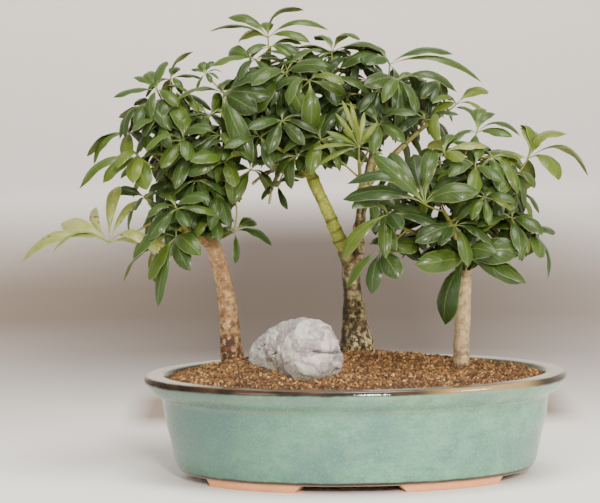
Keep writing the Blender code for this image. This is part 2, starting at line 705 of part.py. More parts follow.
# The pot's wall from the middle of its underside, up the outside, over the lip and down inside.
def potProfile():
    outer = 0.5 * potLength
    return [(outer - 28.0, footHeight), (outer - 23.8, footHeight + 2.5), (outer - 21.0, 14.0),
            (outer - 18.6, 27.0), (outer - 14.5, 42.0), (outer - 13.0, 56.0), (outer - 10.5, 59.0),
            (outer - 6.0, 61.8), (outer - 1.2, 67.2), (outer, potHeight - 3.5),
            (outer - 0.6, potHeight), (outer - lipWidth, potHeight), (outer - lipWidth - 1.0, potHeight - 1.5),
            (outer - 20.5, 55.0), (outer - 27.5, 20.0), (outer - 32.0, floorTop + 1.5),
            (outer - 38.0, floorTop)]


def foot(start, end):
    steps = 4
    outer = 0.5 * potLength - footInset
    rings = []
    for i in range(steps + 1):
        turn = start + (end - start) * i / steps
        ring = []
        for reach, z, slope in ((-1.5, 0.0, footEndSlope), (1.5 - footWidth, 0.0, footEndSlope),
                                (-footWidth, footHeight + 1.5, 0.0), (0.0, footHeight + 1.5, 0.0)):
            angle = turn
            if i == 0:
                angle += slope
            if i == steps:
                angle -= slope
            length = outer + reach
            ring.append(pt(length * math.cos(angle), (length - ovalInset) * math.sin(angle), z))
        rings.append(ring)
    verts, faces = loft(rings)
    return meshObject("foot", verts, faces, "pot")


def makePot():
    rings = [ovalRing(halfLength, z) for halfLength, z in potProfile()]
    verts, faces = loft(rings)
    pot = meshObject("pot", verts, faces, "pot", True)
    joined(pot, [foot(start, end) for start, end in footArcs])
    for side in (-1, 1):
        turns = [2 * math.pi * k / drainSides for k in range(drainSides)]
        ring = [pt(side * drainHoleX + drainHoleRadius * math.cos(turn), drainHoleRadius * math.sin(turn), 0)
                for turn in turns]
        verts, faces = loft([[v + pt(0, 0, 1) for v in ring], [v + pt(0, 0, floorTop + 3) for v in ring]])
        cut(pot, meshObject("drain_hole", verts, faces, "pot"))
    return pot


def makeScreen(name, side):
    count = screenCells
    half = 0.5 * count * screenCell
    base = floorTop + gap
    verts, faces = [], []
    for z in (base, base + screenThickness):
        for j in range(count + 1):
            for i in range(count + 1):
                verts.append(pt(side * drainHoleX - half + i * screenCell, -half + j * screenCell, z))
    level = (count + 1) ** 2

    def solid(i, j):
        inside = 0 <= i < count and 0 <= j < count
        return inside and not (i % 2 == 1 and j % 2 == 1)

    def at(i, j):
        return j * (count + 1) + i

    for j in range(count):
        for i in range(count):
            if not solid(i, j):
                continue
            ring = [at(i, j), at(i + 1, j), at(i + 1, j + 1), at(i, j + 1)]
            faces.append(tuple(reversed(ring)))
            faces.append(tuple(v + level for v in ring))
            beside = ((i, j - 1), (i + 1, j), (i, j + 1), (i - 1, j))
            for k in range(4):
                if not solid(*beside[k]):
                    a, b = ring[k], ring[(k + 1) % 4]
                    faces.append((a, b, b + level, a + level))
    return meshObject(name, verts, faces, "screen")


# Height of the gravel before its relief: a low mound, higher round the centre and left trunks,
# and banked up against the stone's low lobe.
def soilHeight(x, y):
    halfLength = 0.5 * potLength - lipWidth
    halfWidth = halfLength - ovalInset
    r = min(1.0, math.hypot(x / halfLength, y / halfWidth))
    height = soilEdgeHeight + soilRise * (1 - r ** 7)
    height += 6.0 * math.exp(-((x - 3) ** 2 + (y - 72) ** 2) / 1400) * (1 - r ** 6)
    height += 2.5 * math.exp(-((x + 90) ** 2 + (y - 65) ** 2) / 800) * (1 - r ** 8)
    height += 6.0 * math.exp(-((x + 67) ** 2 + (y + 10) ** 2) / 900) * (1 - r ** 6)
    return height


def trunkTube(name, grow=0.0, top=None):
    data = trunks[name]
    rows = [row for row in data["line"] if top is None or row[2] <= top]
    points = [xyz(row) for row in rows]
    return tube(points, [row[3] + grow for row in rows], data["sides"])


# Soil: rings that follow the pot's wall, then a top of loose points joined as gravel relief.
def makeSoil(stone):
    outer = 0.5 * potLength
    wall = [(outer - 38.4, floorTop + gap), (outer - 32.5, floorTop + 1.8), (outer - 28.0, 20.2),
            (outer - 21.0, 55.1), (outer - lipWidth - soilEdgeRoom, soilEdgeHeight)]
    rings = [ovalRing(halfLength, z) for halfLength, z in wall]
    verts, faces = loft(rings, True, False)
    edge = (len(rings) - 1) * potSides
    halfLength = outer - lipWidth - soilEdgeRoom
    rand = random.Random(5)
    previous = list(range(edge, edge + potSides))
    for level in range(1, gravelRings + 1):
        share = 1 - level / (gravelRings + 0.5)
        count = max(6, int(potSides * 1.45 * share)) if level > 1 else potSides
        ring = []
        for k in range(count):
            turn = 2 * math.pi * (k + 0.5 * (level % 2) + rand.uniform(-0.2, 0.2)) / count
            reach = share + rand.uniform(-0.012, 0.012)
            x = halfLength * reach * math.cos(turn)
            y = (halfLength - ovalInset) * reach * math.sin(turn)
            z = soilHeight(x, y) + rand.uniform(-gravelRelief, gravelRelief)
            ring.append(len(verts))
            verts.append(pt(x, y, z))
        faces += bridge(verts, previous, ring)
        previous = ring
    middle = len(verts)
    verts.append(pt(0, 0, soilHeight(0, 0)))
    for k in range(len(previous)):
        faces.append((previous[k], previous[(k + 1) % len(previous)], middle))
    soil = meshObject("soil", verts, faces, "soil")
    for name in trunks:
        verts, faces = trunkTube(name, trunkRoom, 130)
        sides = trunks[name]["sides"]
        verts[:sides] = [v - pt(0, 0, trunkRoom) for v in verts[:sides]]
        cut(soil, meshObject("trunk_hole", verts, faces, "soil"))
    for side in (-1, 1):
        half = 0.5 * screenCells * screenCell + gap
        ring = [pt(side * drainHoleX + half * a, half * b, 0) for a, b in ((-1, -1), (1, -1), (1, 1), (-1, 1))]
        verts, faces = loft([[v + pt(0, 0, floorTop - 2) for v in ring],
                             [v + pt(0, 0, floorTop + screenThickness + 2 * gap) for v in ring]])
        cut(soil, meshObject("screen_pocket", verts, faces, "soil"))
    cut(soil, stone)
    return soil


# Joins two rings of different counts with triangles, always taking the nearer next point.
def bridge(verts, outer, inner):
    faces = []
    i = j = 0
    nOuter, nInner = len(outer), len(inner)

    def turnOf(index):
        v = verts[index]
        return math.atan2(v.y / 0.74, v.x) % (2 * math.pi)

    startI = min(range(nOuter), key=lambda n: turnOf(outer[n]))
    startJ = min(range(nInner), key=lambda n: turnOf(inner[n]))
    while i < nOuter or j < nInner:
        a = outer[(startI + i) % nOuter]
        b = inner[(startJ + j) % nInner]
        nextA = outer[(startI + i + 1) % nOuter]
        nextB = inner[(startJ + j + 1) % nInner]
        stepOuter = j >= nInner or (i < nOuter and (verts[nextA] - verts[b]).length
                                    <= (verts[a] - verts[nextB]).length)
        if stepOuter:
            faces.append((a, nextA, b))
            i += 1
        else:
            faces.append((a, nextB, b))
            j += 1
    return faces


# How far a point lies outside the two blended lobes, below nothing where it is inside them.
def outsideStone(point):
    total = 0.0
    for middle, half in stoneLobes:
        away = point - middle
        distance = pt(away.x / half.x, away.y / half.y, away.z / half.z).length
        total += math.exp(-stoneBlend * (distance - 1))
    return -math.log(total)


# The stone's surface along a direction from its middle, with its lumps and cracks.
def stonePoint(way):
    low, high = 0.0, stoneReach
    for _ in range(24):
        reach = 0.5 * (low + high)
        if outsideStone(stoneMiddle + way * reach) < 0:
            low = reach
        else:
            high = reach
    point = stoneMiddle + way * low
    lump = 2.8 * noise.noise(point / 15 + pt(4, 1, 7)) + 1.8 * noise.noise(point / 7)
    crack = 2.6 * abs(noise.noise(point / 10 + pt(2, 5, 1)))
    point += way * (lump - crack + 0.6)
    point.z = max(point.z, stoneBottom)
    return point


def stoneMesh(name):
    ball = bpy.data.meshes.new(name)
    work = bmesh.new()
    bmesh.ops.create_icosphere(work, subdivisions=4, radius=1.0)
    for vert in work.verts:
        vert.co = stonePoint(vert.co.normalized()) * mm
    work.to_mesh(ball)
    work.free()
    return ball


def makeStone(name, grow=0.0):
    stone = bpy.data.objects.new(name, stoneMesh(name))
    bpy.context.scene.collection.objects.link(stone)
    stone.data.materials.append(material("stone"))
    fewer = stone.modifiers.new("fewer", "DECIMATE")
    fewer.ratio = stoneFaceShare
    applyModifiers(stone)
    for vert, way in [(vert, vert.normal.copy()) for vert in stone.data.vertices]:
        vert.co += way * grow * mm
    return stone


def makeTrunk(name, crowd):
    node = f"trunk_{name}"
    verts, faces = trunkTube(name)
    crowd.add(node, verts, faces)
    trunk = meshObject(node, verts, faces, "bark", True)
    parts = []
    for spray in sprays:
        if spray["tree"] != name:
            continue
        line = [xyz(row) for row in spray["branch"]]
        verts, faces = tube(line, [row[3] for row in spray["branch"]], 5)
        crowd.add(node, verts, faces)
        parts.append(meshObject("branch", verts, faces, "bark"))
    if name == "centre":
        for twig in bareTwigs:
            line, radii = polyline(twig, 2)
            verts, faces = tube(line, radii, 4)
            crowd.add(node, verts, faces)
            parts.append(meshObject("twig", verts, faces, "bark"))
    return trunk, parts


def main():
    clearScene()
    crowd = Crowd()
    made = []
    made.append(makePot())
    for name, side in (("drain_screen_left", -1), ("drain_screen_right", 1)):
        made.append(makeScreen(name, side))
    made.append(makeSoil(makeStone("stone_pocket", stoneRoom)))
    made.append(makeStone("stone"))
    for name in trunks:
        trunk, parts = makeTrunk(name, crowd)
        made.append(joined(trunk, parts))
    stems = {}
    for spray in sprays:
        line, radii, way = stemLine(spray)
        shapes = [tube(line, radii, 5, None, way)]
        shapes += [stalk(leaf, line) for leaf in spray["leaves"]]
        for verts, faces in shapes:
            crowd.add(spray["name"], verts, faces)
        stems[spray["name"]] = shapes
    placed = placeLeaflets(crowd)
    for spray in sprays:
        name = spray["name"]
        shapes = stems[name] + placed[name]
        base = meshObject(name, *shapes[0], "leaf")
        others = [meshObject("piece", verts, faces, "leaf") for verts, faces in shapes[1:]]
        made.append(joined(base, others))
    low, high = crowd.box([v.co for item in made for v in item.data.vertices])
    whole = bpy.data.objects.new("bonsai", None)
    bpy.context.scene.collection.objects.link(whole)
    whole.location = (-(low.x + high.x) / 2, -(low.y + high.y) / 2, -low.z)
    for item in made:
        item.parent = whole


main()
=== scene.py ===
# Umbrella tree bonsai forest: fine meshes, materials, floor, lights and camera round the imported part.
# Lengths here are in millimetres from the middle of the pot's underside, with +Z up and -Y to the viewer.

import math
import random

import bmesh
import bpy
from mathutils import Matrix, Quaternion, Vector, noise
from mathutils.bvhtree import BVHTree


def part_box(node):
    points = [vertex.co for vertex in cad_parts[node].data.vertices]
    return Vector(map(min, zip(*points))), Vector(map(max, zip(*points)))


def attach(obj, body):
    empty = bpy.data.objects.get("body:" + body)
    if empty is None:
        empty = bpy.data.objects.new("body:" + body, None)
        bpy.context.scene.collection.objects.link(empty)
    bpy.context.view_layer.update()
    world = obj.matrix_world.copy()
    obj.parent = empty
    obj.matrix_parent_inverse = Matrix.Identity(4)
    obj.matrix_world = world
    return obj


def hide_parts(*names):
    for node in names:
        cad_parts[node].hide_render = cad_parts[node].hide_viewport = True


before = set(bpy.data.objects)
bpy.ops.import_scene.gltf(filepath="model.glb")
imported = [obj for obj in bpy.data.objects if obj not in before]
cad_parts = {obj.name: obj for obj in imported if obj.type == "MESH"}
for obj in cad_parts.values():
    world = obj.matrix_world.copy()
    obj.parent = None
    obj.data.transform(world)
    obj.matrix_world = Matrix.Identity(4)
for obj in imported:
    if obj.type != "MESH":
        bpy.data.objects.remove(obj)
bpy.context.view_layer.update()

mm = 0.001
potLow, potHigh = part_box("pot")
potMiddle = Vector(((potLow.x + potHigh.x) / 2, (potLow.y + potHigh.y) / 2, 0))
print("frame loaded")


def pt(x, y, z):
    return Vector((x, y, z))


# A point of this script as a point of the frame, in metres.
def place(point):
    return potMiddle + Vector(point) * mm


def clamped(value):
    return min(1.0, max(0.0, value))


# Colours are written as they look, from 0 to 255, and handed to Blender as linear values.
def shade(red, green, blue):
    values = [v / 255 for v in (red, green, blue)]
    return tuple(v / 12.92 if v < 0.04 else ((v + 0.055) / 1.055) ** 2.4 for v in values) + (1.0,)


# Builds node trees: most methods add one node and return the output that is used.
class Wiring:
    def __init__(self, tree):
        self.tree = tree
        self.count = 0

    def feed(self, node, key, value):
        if isinstance(key, int):
            target = node.inputs[key]
        else:
            target = next(s for s in node.inputs if s.enabled and s.name == key)
        if isinstance(value, bpy.types.NodeSocket):
            self.tree.links.new(value, target)
        else:
            target.default_value = value

    def add(self, kind, settings=None, inputs=None):
        node = self.tree.nodes.new(kind)
        node.location = (self.count % 12 * 200, -260 * (self.count // 12))
        self.count += 1
        for key, value in (settings or {}).items():
            setattr(node, key, value)
        for key, value in (inputs or {}).items():
            self.feed(node, key, value)
        return node

    def step(self, kind, inputs=None, settings=None):
        return self.add(kind, settings, inputs).outputs[0]

    def sum(self, operation, *values, clamp=False):
        settings = {"operation": operation, "use_clamp": clamp}
        return self.step("ShaderNodeMath", dict(enumerate(values)), settings)

    def times(self, value, *others, clamp=False):
        for other in others:
            value = self.sum("MULTIPLY", value, other, clamp=clamp)
        return value

    def plus(self, first, second, clamp=False):
        return self.sum("ADD", first, second, clamp=clamp)

    def minus(self, first, second):
        return self.sum("SUBTRACT", first, second)

    def apart(self, first, second):
        return self.sum("ABSOLUTE", self.minus(first, second))

    def vector(self, operation, *values):
        node = self.add("ShaderNodeVectorMath", {"operation": operation}, dict(enumerate(values)))
        return node.outputs["Value" if operation == "LENGTH" else "Vector"]

    def scaled(self, vector, factor):
        inputs = {"Vector": vector, "Scale": factor}
        return self.add("ShaderNodeVectorMath", {"operation": "SCALE"}, inputs).outputs[0]

    def noise(self, vector, scale, detail=3.0, roughness=0.55):
        inputs = {"Vector": vector, "Scale": scale, "Detail": detail, "Roughness": roughness}
        return self.add("ShaderNodeTexNoise", None, inputs).outputs["Fac"]

    def cells(self, vector, scale):
        return self.add("ShaderNodeTexVoronoi", None, {"Vector": vector, "Scale": scale}).outputs["Distance"]

    def range(self, value, low, high, newLow=0.0, newHigh=1.0):
        inputs = {"Value": value, "From Min": low, "From Max": high, "To Min": newLow, "To Max": newHigh}
        return self.add("ShaderNodeMapRange", {"clamp": True}, inputs).outputs[0]

    def fade(self, value, low, high):
        return self.range(value, low, high, 1.0, 0.0)

    def mix(self, factor, first, second):
        node = self.add("ShaderNodeMix", {"data_type": "RGBA"}, {0: factor, 6: first, 7: second})
        return node.outputs[2]

    def ramp(self, factor, stops):
        node = self.add("ShaderNodeValToRGB", None, {"Fac": factor})
        elements = node.color_ramp.elements
        while len(elements) < len(stops):
            elements.new(0.5)
        for element, (position, colour) in zip(elements, stops):
            element.position = position
            element.color = colour
        return node.outputs["Color"]

    def attribute(self, name):
        return self.add("ShaderNodeAttribute", {"attribute_name": name}).outputs["Fac"]

    def objectPoint(self):
        return self.add("ShaderNodeTexCoord").outputs["Object"]

    def parts(self, vector):
        return self.add("ShaderNodeSeparateXYZ", None, {0: vector}).outputs

    def group(self, tree, inputs):
        return self.add("ShaderNodeGroup", {"node_tree": tree}, inputs).outputs

    def bump(self, height, strength, distance):
        inputs = {"Height": height, "Strength": strength, "Distance": distance}
        return self.add("ShaderNodeBump", None, inputs).outputs["Normal"]


# An empty group of shader nodes or geometry nodes with named sockets.
def newTree(name, kind, inputs, outputs):
    tree = bpy.data.node_groups.new(name, kind)
    for label, socketKind, value in inputs:
        socket = tree.interface.new_socket(label, in_out="INPUT", socket_type="NodeSocket" + socketKind)
        if value is not None:
            socket.default_value = value
    for label, socketKind in outputs:
        tree.interface.new_socket(label, in_out="OUTPUT", socket_type="NodeSocket" + socketKind)
    given = tree.nodes.new("NodeGroupInput").outputs
    result = tree.nodes.new("NodeGroupOutput").inputs
    return tree, Wiring(tree), given, result


def newMaterial(name, roughness, settings=None):
    made = bpy.data.materials.new(name)
    made.use_nodes = True
    shader = made.node_tree.nodes["Principled BSDF"]
    shader.inputs["Roughness"].default_value = roughness
    for key, value in (settings or {}).items():
        shader.inputs[key].default_value = value
    return made, Wiring(made.node_tree), shader


# Soft blotches with fine specks in them.
def makeMottle():
    inputs = [("Vector", "Vector", None), ("Size", "Float", 60.0), ("Speck Size", "Float", 600.0),
              ("Contrast", "Float", 2.0)]
    outputs = [("Blotch", "Float"), ("Speck", "Float")]
    tree, w, given, result = newTree("mottle", "ShaderNodeTree", inputs, outputs)
    broad = w.noise(given["Vector"], given["Size"], 4.0, 0.6)
    fine = w.noise(given["Vector"], given["Speck Size"], 2.0, 0.6)
    for label, value in (("Blotch", broad), ("Speck", fine)):
        spread = w.times(w.minus(value, 0.5), given["Contrast"])
        tree.links.new(w.plus(spread, 0.5, clamp=True), result[label])
    return tree


# Small relief as a normal: broad lumps with finer grain on them.
def makeGrain():
    inputs = [("Vector", "Vector", None), ("Lump Size", "Float", 200.0), ("Grain Size", "Float", 1200.0),
              ("Height", "Float", 0.0005), ("Grain Share", "Float", 0.4)]
    outputs = [("Normal", "Vector"), ("Relief", "Float")]
    tree, w, given, result = newTree("grain", "ShaderNodeTree", inputs, outputs)
    lumps = w.noise(given["Vector"], given["Lump Size"], 5.0, 0.6)
    relief = w.plus(lumps, w.times(w.noise(given["Vector"], given["Grain Size"], 2.0), given["Grain Share"]))
    tree.links.new(w.bump(relief, 1.0, given["Height"]), result["Normal"])
    tree.links.new(relief, result["Relief"])
    return tree


# A leaflet's midrib, side veins and margin, from how far along and across the blade a point lies.
def makeVeins():
    inputs = [("Along", "Float", 0.0), ("Across", "Float", 0.0), ("Pairs", "Float", 9.0),
              ("Slant", "Float", 2.2)]
    outputs = [("Midrib", "Float"), ("Vein", "Float"), ("Margin", "Float"), ("Relief", "Float")]
    tree, w, given, result = newTree("leafVeins", "ShaderNodeTree", inputs, outputs)
    out = w.sum("ABSOLUTE", given["Across"])
    midrib = w.fade(out, 0.02, 0.09)
    lean = w.minus(w.times(given["Along"], given["Pairs"]), w.times(out, given["Slant"]))
    step = w.apart(w.sum("FRACT", lean), 0.5)
    vein = w.times(w.fade(step, 0.05, 0.16), w.fade(out, 0.5, 0.95))
    swell = w.times(w.sum("SINE", w.times(lean, 2 * math.pi)), 0.25)
    relief = w.minus(w.times(swell, w.range(out, 0.1, 0.5)), w.times(midrib, 0.8))
    for (label, _), value in zip(outputs, (midrib, vein, w.range(out, 0.9, 1.0), relief)):
        tree.links.new(value, result[label])
    return tree


mottle = makeMottle()
grain = makeGrain()
leafVeins = makeVeins()
print("shader groups made")


# Soft blotches and specks over a material: their sizes and their contrast.
def mottled(w, point, size, speckSize, contrast):
    return w.group(mottle, {"Vector": point, "Size": size, "Speck Size": speckSize, "Contrast": contrast})


# A material's fine relief: the sizes of its lumps and grains, how high they are and the grains' share.
def grained(w, point, lumpSize, grainSize, height, grainShare=0.4):
    return w.group(grain, {"Vector": point, "Lump Size": lumpSize, "Grain Size": grainSize, "Height": height,
                           "Grain Share": grainShare})


def painted(w, shader, colour, relief):
    w.feed(shader, "Base Color", colour)
    w.feed(shader, "Normal", relief["Normal"])


# Ridges round a woody line where leaves once stood, worn away here and there.
def ringWave(w, along, point, spacing, sharpness):
    wander = w.times(w.noise(point, 70.0), 4.0)
    turn = w.times(w.sum("DIVIDE", along, spacing), 2 * math.pi)
    wave = w.sum("MAXIMUM", w.sum("COSINE", w.plus(turn, wander)), 0.0)
    return w.times(w.sum("POWER", wave, sharpness), w.range(w.noise(point, 60.0, 2.0), 0.42, 0.6))


def named(w, name, kind="FLOAT"):
    return w.step("GeometryNodeInputNamedAttribute", {"Name": name}, {"data_type": kind})


def stored(w, geometry, name, value, domain="POINT"):
    inputs = {"Geometry": geometry, "Name": name, "Value": value}
    return w.step("GeometryNodeStoreNamedAttribute", inputs, {"data_type": "FLOAT", "domain": domain})


# Moves a geometry's points to a "Position" or by an "Offset".
def moved(w, geometry, way, value):
    return w.step("GeometryNodeSetPosition", {"Geometry": geometry, way: value})


def joinedGeometry(w, *parts):
    node = w.add("GeometryNodeJoinGeometry")
    for part in parts:
        w.tree.links.new(part, node.inputs["Geometry"])
    return node.outputs["Geometry"]


def realized(w, geometry):
    return w.step("GeometryNodeRealizeInstances", {"Geometry": geometry})


# Ends a tree: real faces, smooth or flat, in one material.
def finished(w, geometry, material, smooth=True):
    shaded = w.step("GeometryNodeSetShadeSmooth", {"Geometry": realized(w, geometry), "Shade Smooth": smooth})
    return w.step("GeometryNodeSetMaterial", {"Geometry": shaded, "Material": material})


# Tubes along mesh edges. Each vertex carries its radius in the attribute "thick".
def sweptTubes(w, geometry, sides, step):
    curve = w.step("GeometryNodeMeshToCurve", {"Mesh": geometry})
    curve = w.step("GeometryNodeCurveSplineType", {"Curve": curve}, {"spline_type": "CATMULL_ROM"})
    curve = w.step("GeometryNodeSetSplineResolution", {"Geometry": curve, "Resolution": 8})
    curve = w.step("GeometryNodeResampleCurve", {"Curve": curve, "Length": step}, {"mode": "LENGTH"})
    curve = stored(w, curve, "along", w.add("GeometryNodeSplineParameter").outputs["Length"])
    ring = w.step("GeometryNodeCurvePrimitiveCircle", {"Resolution": sides, "Radius": 1.0})
    inputs = {"Curve": curve, "Profile Curve": ring, "Scale": named(w, "thick"), "Fill Caps": True}
    return w.step("GeometryNodeCurveToMesh", inputs)


# Bark over woody lines: rings where leaves once stood, and lumps between them.
def makeBarkTree():
    inputs = [("Geometry", "Geometry", None), ("Sides", "Int", 20), ("Step", "Float", 0.0015),
              ("Ring Spacing", "Float", 0.009), ("Ring Height", "Float", 0.0003),
              ("Lump Size", "Float", 90.0), ("Lump Height", "Float", 0.0008),
              ("Knot Height", "Float", 0.0008), ("Bark", "Material", None)]
    tree, w, given, result = newTree("barkSweep", "GeometryNodeTree", inputs, [("Geometry", "Geometry")])
    tubes = sweptTubes(w, given["Geometry"], given["Sides"], given["Step"])
    position = w.step("GeometryNodeInputPosition")
    rings = ringWave(w, named(w, "along"), position, given["Ring Spacing"], 6.0)
    rings = w.times(rings, given["Ring Height"])
    knot = w.sum("POWER", w.fade(w.cells(position, 62.0), 0.0, 0.42), 2.0)
    rings = w.plus(rings, w.times(knot, given["Knot Height"]))
    rough = w.minus(w.noise(position, given["Lump Size"], 4.0), 0.5)
    lumps = w.times(given["Lump Height"], 2.0, rough)
    relief = w.scaled(w.step("GeometryNodeInputNormal"), w.plus(rings, lumps))
    tree.links.new(finished(w, moved(w, tubes, "Offset", relief), given["Bark"]), result["Geometry"])
    return tree


# How wide a leaflet is along its length, as a share of its greatest width.
leafletOutline = [(0.0, 0.07), (0.09, 0.075), (0.17, 0.2), (0.28, 0.52), (0.42, 0.82), (0.6, 1.0),
                  (0.76, 0.93), (0.88, 0.65), (0.96, 0.3), (1.0, 0.04)]


# One leafy stem: swept stalks, and a thin closed blade on each vertex that has the attribute "leaflet".
def makeSprayTree():
    inputs = [("Geometry", "Geometry", None), ("Stations", "Int", 12), ("Columns", "Int", 5),
              ("Thickness", "Float", 0.0006), ("Fold", "Float", 0.62), ("Margin Wave", "Float", 0.09),
              ("Stalk Sides", "Int", 7), ("Stalk Step", "Float", 0.004), ("Upper Face", "Material", None),
              ("Under Face", "Material", None), ("Stalk", "Material", None)]
    tree, w, given, result = newTree("leafySpray", "GeometryNodeTree", inputs, [("Geometry", "Geometry")])
    tubes = sweptTubes(w, given["Geometry"], given["Stalk Sides"], given["Stalk Step"])
    stalks = finished(w, tubes, given["Stalk"])

    sheet = w.step("GeometryNodeMeshGrid", {"Size X": 1.0, "Size Y": 1.0, "Vertices X": given["Stations"],
                                            "Vertices Y": given["Columns"]})
    flat = w.parts(w.step("GeometryNodeInputPosition"))
    sheet = stored(w, sheet, "along", w.plus(flat[0], 0.5))
    sheet = stored(w, sheet, "across", w.times(flat[1], 2.0))
    chosen = w.step("FunctionNodeCompare", {"A": named(w, "leaflet"), "B": 0.5},
                    {"data_type": "FLOAT", "operation": "GREATER_THAN"})
    inputs = {"Points": given["Geometry"], "Instance": sheet, "Selection": chosen}
    copies = realized(w, w.step("GeometryNodeInstanceOnPoints", inputs))

    along, across = named(w, "along"), named(w, "across")
    reach, lift = named(w, "reach", "FLOAT_VECTOR"), named(w, "lift", "FLOAT_VECTOR")
    curve = w.add("ShaderNodeFloatCurve", None, {"Value": along})
    points = curve.mapping.curves[0].points
    for _ in leafletOutline[2:]:
        points.new(0.5, 0.5)
    for point, spot in zip(points, leafletOutline):
        point.location = spot
    curve.mapping.update()
    half = w.times(named(w, "width"), 0.5, curve.outputs[0])
    out = w.sum("ABSOLUTE", across)
    square = w.times(across, across)
    rest = w.minus(1.0, along)
    bow = w.times(along, rest, w.times(named(w, "arch"), 2.0, w.vector("LENGTH", reach)))
    wings = w.times(given["Fold"], w.minus(w.times(out, 0.55), square))
    phase = w.plus(w.times(along, 15.0), w.times(named(w, "phase"), 40.0))
    ripple = w.sum("SINE", w.plus(phase, w.times(across, 1.6)))
    ripple = w.times(ripple, square, given["Margin Wave"])
    rise = w.plus(bow, w.times(half, w.plus(wings, ripple)))
    bell = w.times(w.times(along, 14.0, clamp=True), w.times(rest, 14.0, clamp=True))
    skin = w.times(bell, w.minus(1.0, square), w.times(given["Thickness"], 0.5))
    middle = w.vector("ADD", named(w, "hub", "FLOAT_VECTOR"), w.scaled(reach, along))
    sideways = w.scaled(named(w, "side", "FLOAT_VECTOR"), w.times(half, across))
    middle = w.vector("ADD", middle, sideways)
    top = moved(w, copies, "Position", w.vector("ADD", middle, w.scaled(lift, w.plus(rise, skin))))
    low = moved(w, copies, "Position", w.vector("ADD", middle, w.scaled(lift, w.minus(rise, skin))))
    low = w.step("GeometryNodeFlipFaces", {"Mesh": low})
    blades = joinedGeometry(w, finished(w, top, given["Upper Face"]), finished(w, low, given["Under Face"]))
    blades = w.step("GeometryNodeMergeByDistance", {"Geometry": blades, "Distance": 0.000002})
    whole = joinedGeometry(w, blades, stalks)
    for name in ("hub", "reach", "lift", "side", "width", "arch", "leaflet", "thick"):
        whole = w.step("GeometryNodeRemoveAttribute", {"Geometry": whole, "Name": name})
    tree.links.new(whole, result["Geometry"])
    return tree


# Loose grains over a surface, each turned, stretched and dented in its own way.
def makeGravelTree():
    inputs = [("Geometry", "Geometry", None), ("Spacing", "Float", 0.0022), ("Grain Size", "Float", 0.0015),
              ("Dent", "Float", 0.0011), ("Seed", "Int", 4), ("Gravel", "Material", None)]
    tree, w, given, result = newTree("looseGravel", "GeometryNodeTree", inputs, [("Geometry", "Geometry")])
    scatter = {"Mesh": given["Geometry"], "Distance Min": given["Spacing"], "Density Max": 900000.0,
               "Seed": given["Seed"]}
    spots = w.step("GeometryNodeDistributePointsOnFaces", scatter, {"distribute_method": "POISSON"})
    ball = w.step("GeometryNodeMeshIcoSphere", {"Radius": 1.0, "Subdivisions": 1})
    drawn = {"data_type": "FLOAT_VECTOR"}
    turn = {"Min": (0.0, 0.0, 0.0), "Max": (6.28, 6.28, 6.28), "Seed": 1}
    turn = w.step("FunctionNodeEulerToRotation", {"Euler": w.step("FunctionNodeRandomValue", turn, drawn)})
    shape = {"Min": (0.4, 0.4, 0.35), "Max": (1.6, 1.15, 0.95), "Seed": 2}
    size = w.scaled(w.step("FunctionNodeRandomValue", shape, drawn), given["Grain Size"])
    inputs = {"Points": spots, "Instance": ball, "Rotation": turn, "Scale": size}
    grains = w.step("GeometryNodeInstanceOnPoints", inputs)
    tone = w.add("FunctionNodeRandomValue", {"data_type": "FLOAT"}, {"Min": 0.0, "Max": 1.0, "Seed": 3})
    grains = realized(w, stored(w, grains, "grainTone", tone.outputs[1], "INSTANCE"))
    blur = w.add("ShaderNodeTexNoise", None, {"Vector": w.step("GeometryNodeInputPosition"), "Scale": 420.0,
                                              "Detail": 1.0}).outputs["Color"]
    dent = w.scaled(w.vector("SUBTRACT", blur, (0.5, 0.5, 0.5)), given["Dent"])
    grains = moved(w, grains, "Offset", dent)
    tree.links.new(finished(w, grains, given["Gravel"], False), result["Geometry"])
    return tree


barkSweep = makeBarkTree()
leafySpray = makeSprayTree()
looseGravel = makeGravelTree()
print("geometry trees made")


def shown(name, mesh):
    made = bpy.data.objects.new(name, mesh)
    bpy.context.scene.collection.objects.link(made)
    return made


# A mesh from points in this script's millimetres.
def meshFrom(name, points, edges, faces):
    mesh = bpy.data.meshes.new(name)
    mesh.from_pydata([place(point) for point in points], edges, faces)
    mesh.update()
    return mesh


def modifiedMesh(piece):
    bpy.context.view_layer.update()
    return bpy.data.meshes.new_from_object(piece.evaluated_get(bpy.context.evaluated_depsgraph_get()))


# Runs a tree on a mesh and keeps the result as a plain object, with no modifier.
def grown(name, mesh, tree, values):
    seedling = shown(name + "_seed", mesh)
    modifier = seedling.modifiers.new("grow", "NODES")
    modifier.node_group = tree
    for item in tree.interface.items_tree:
        if item.item_type == "SOCKET" and item.in_out == "INPUT" and item.name in values:
            modifier[item.identifier] = values[item.name]
    result = modifiedMesh(seedling)
    bpy.data.objects.remove(seedling, do_unlink=True)
    result.name = name
    return shown(name, result)


def keep(piece, slot, *nodes):
    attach(piece, "root")
    if nodes:
        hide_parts(*nodes)
    return piece


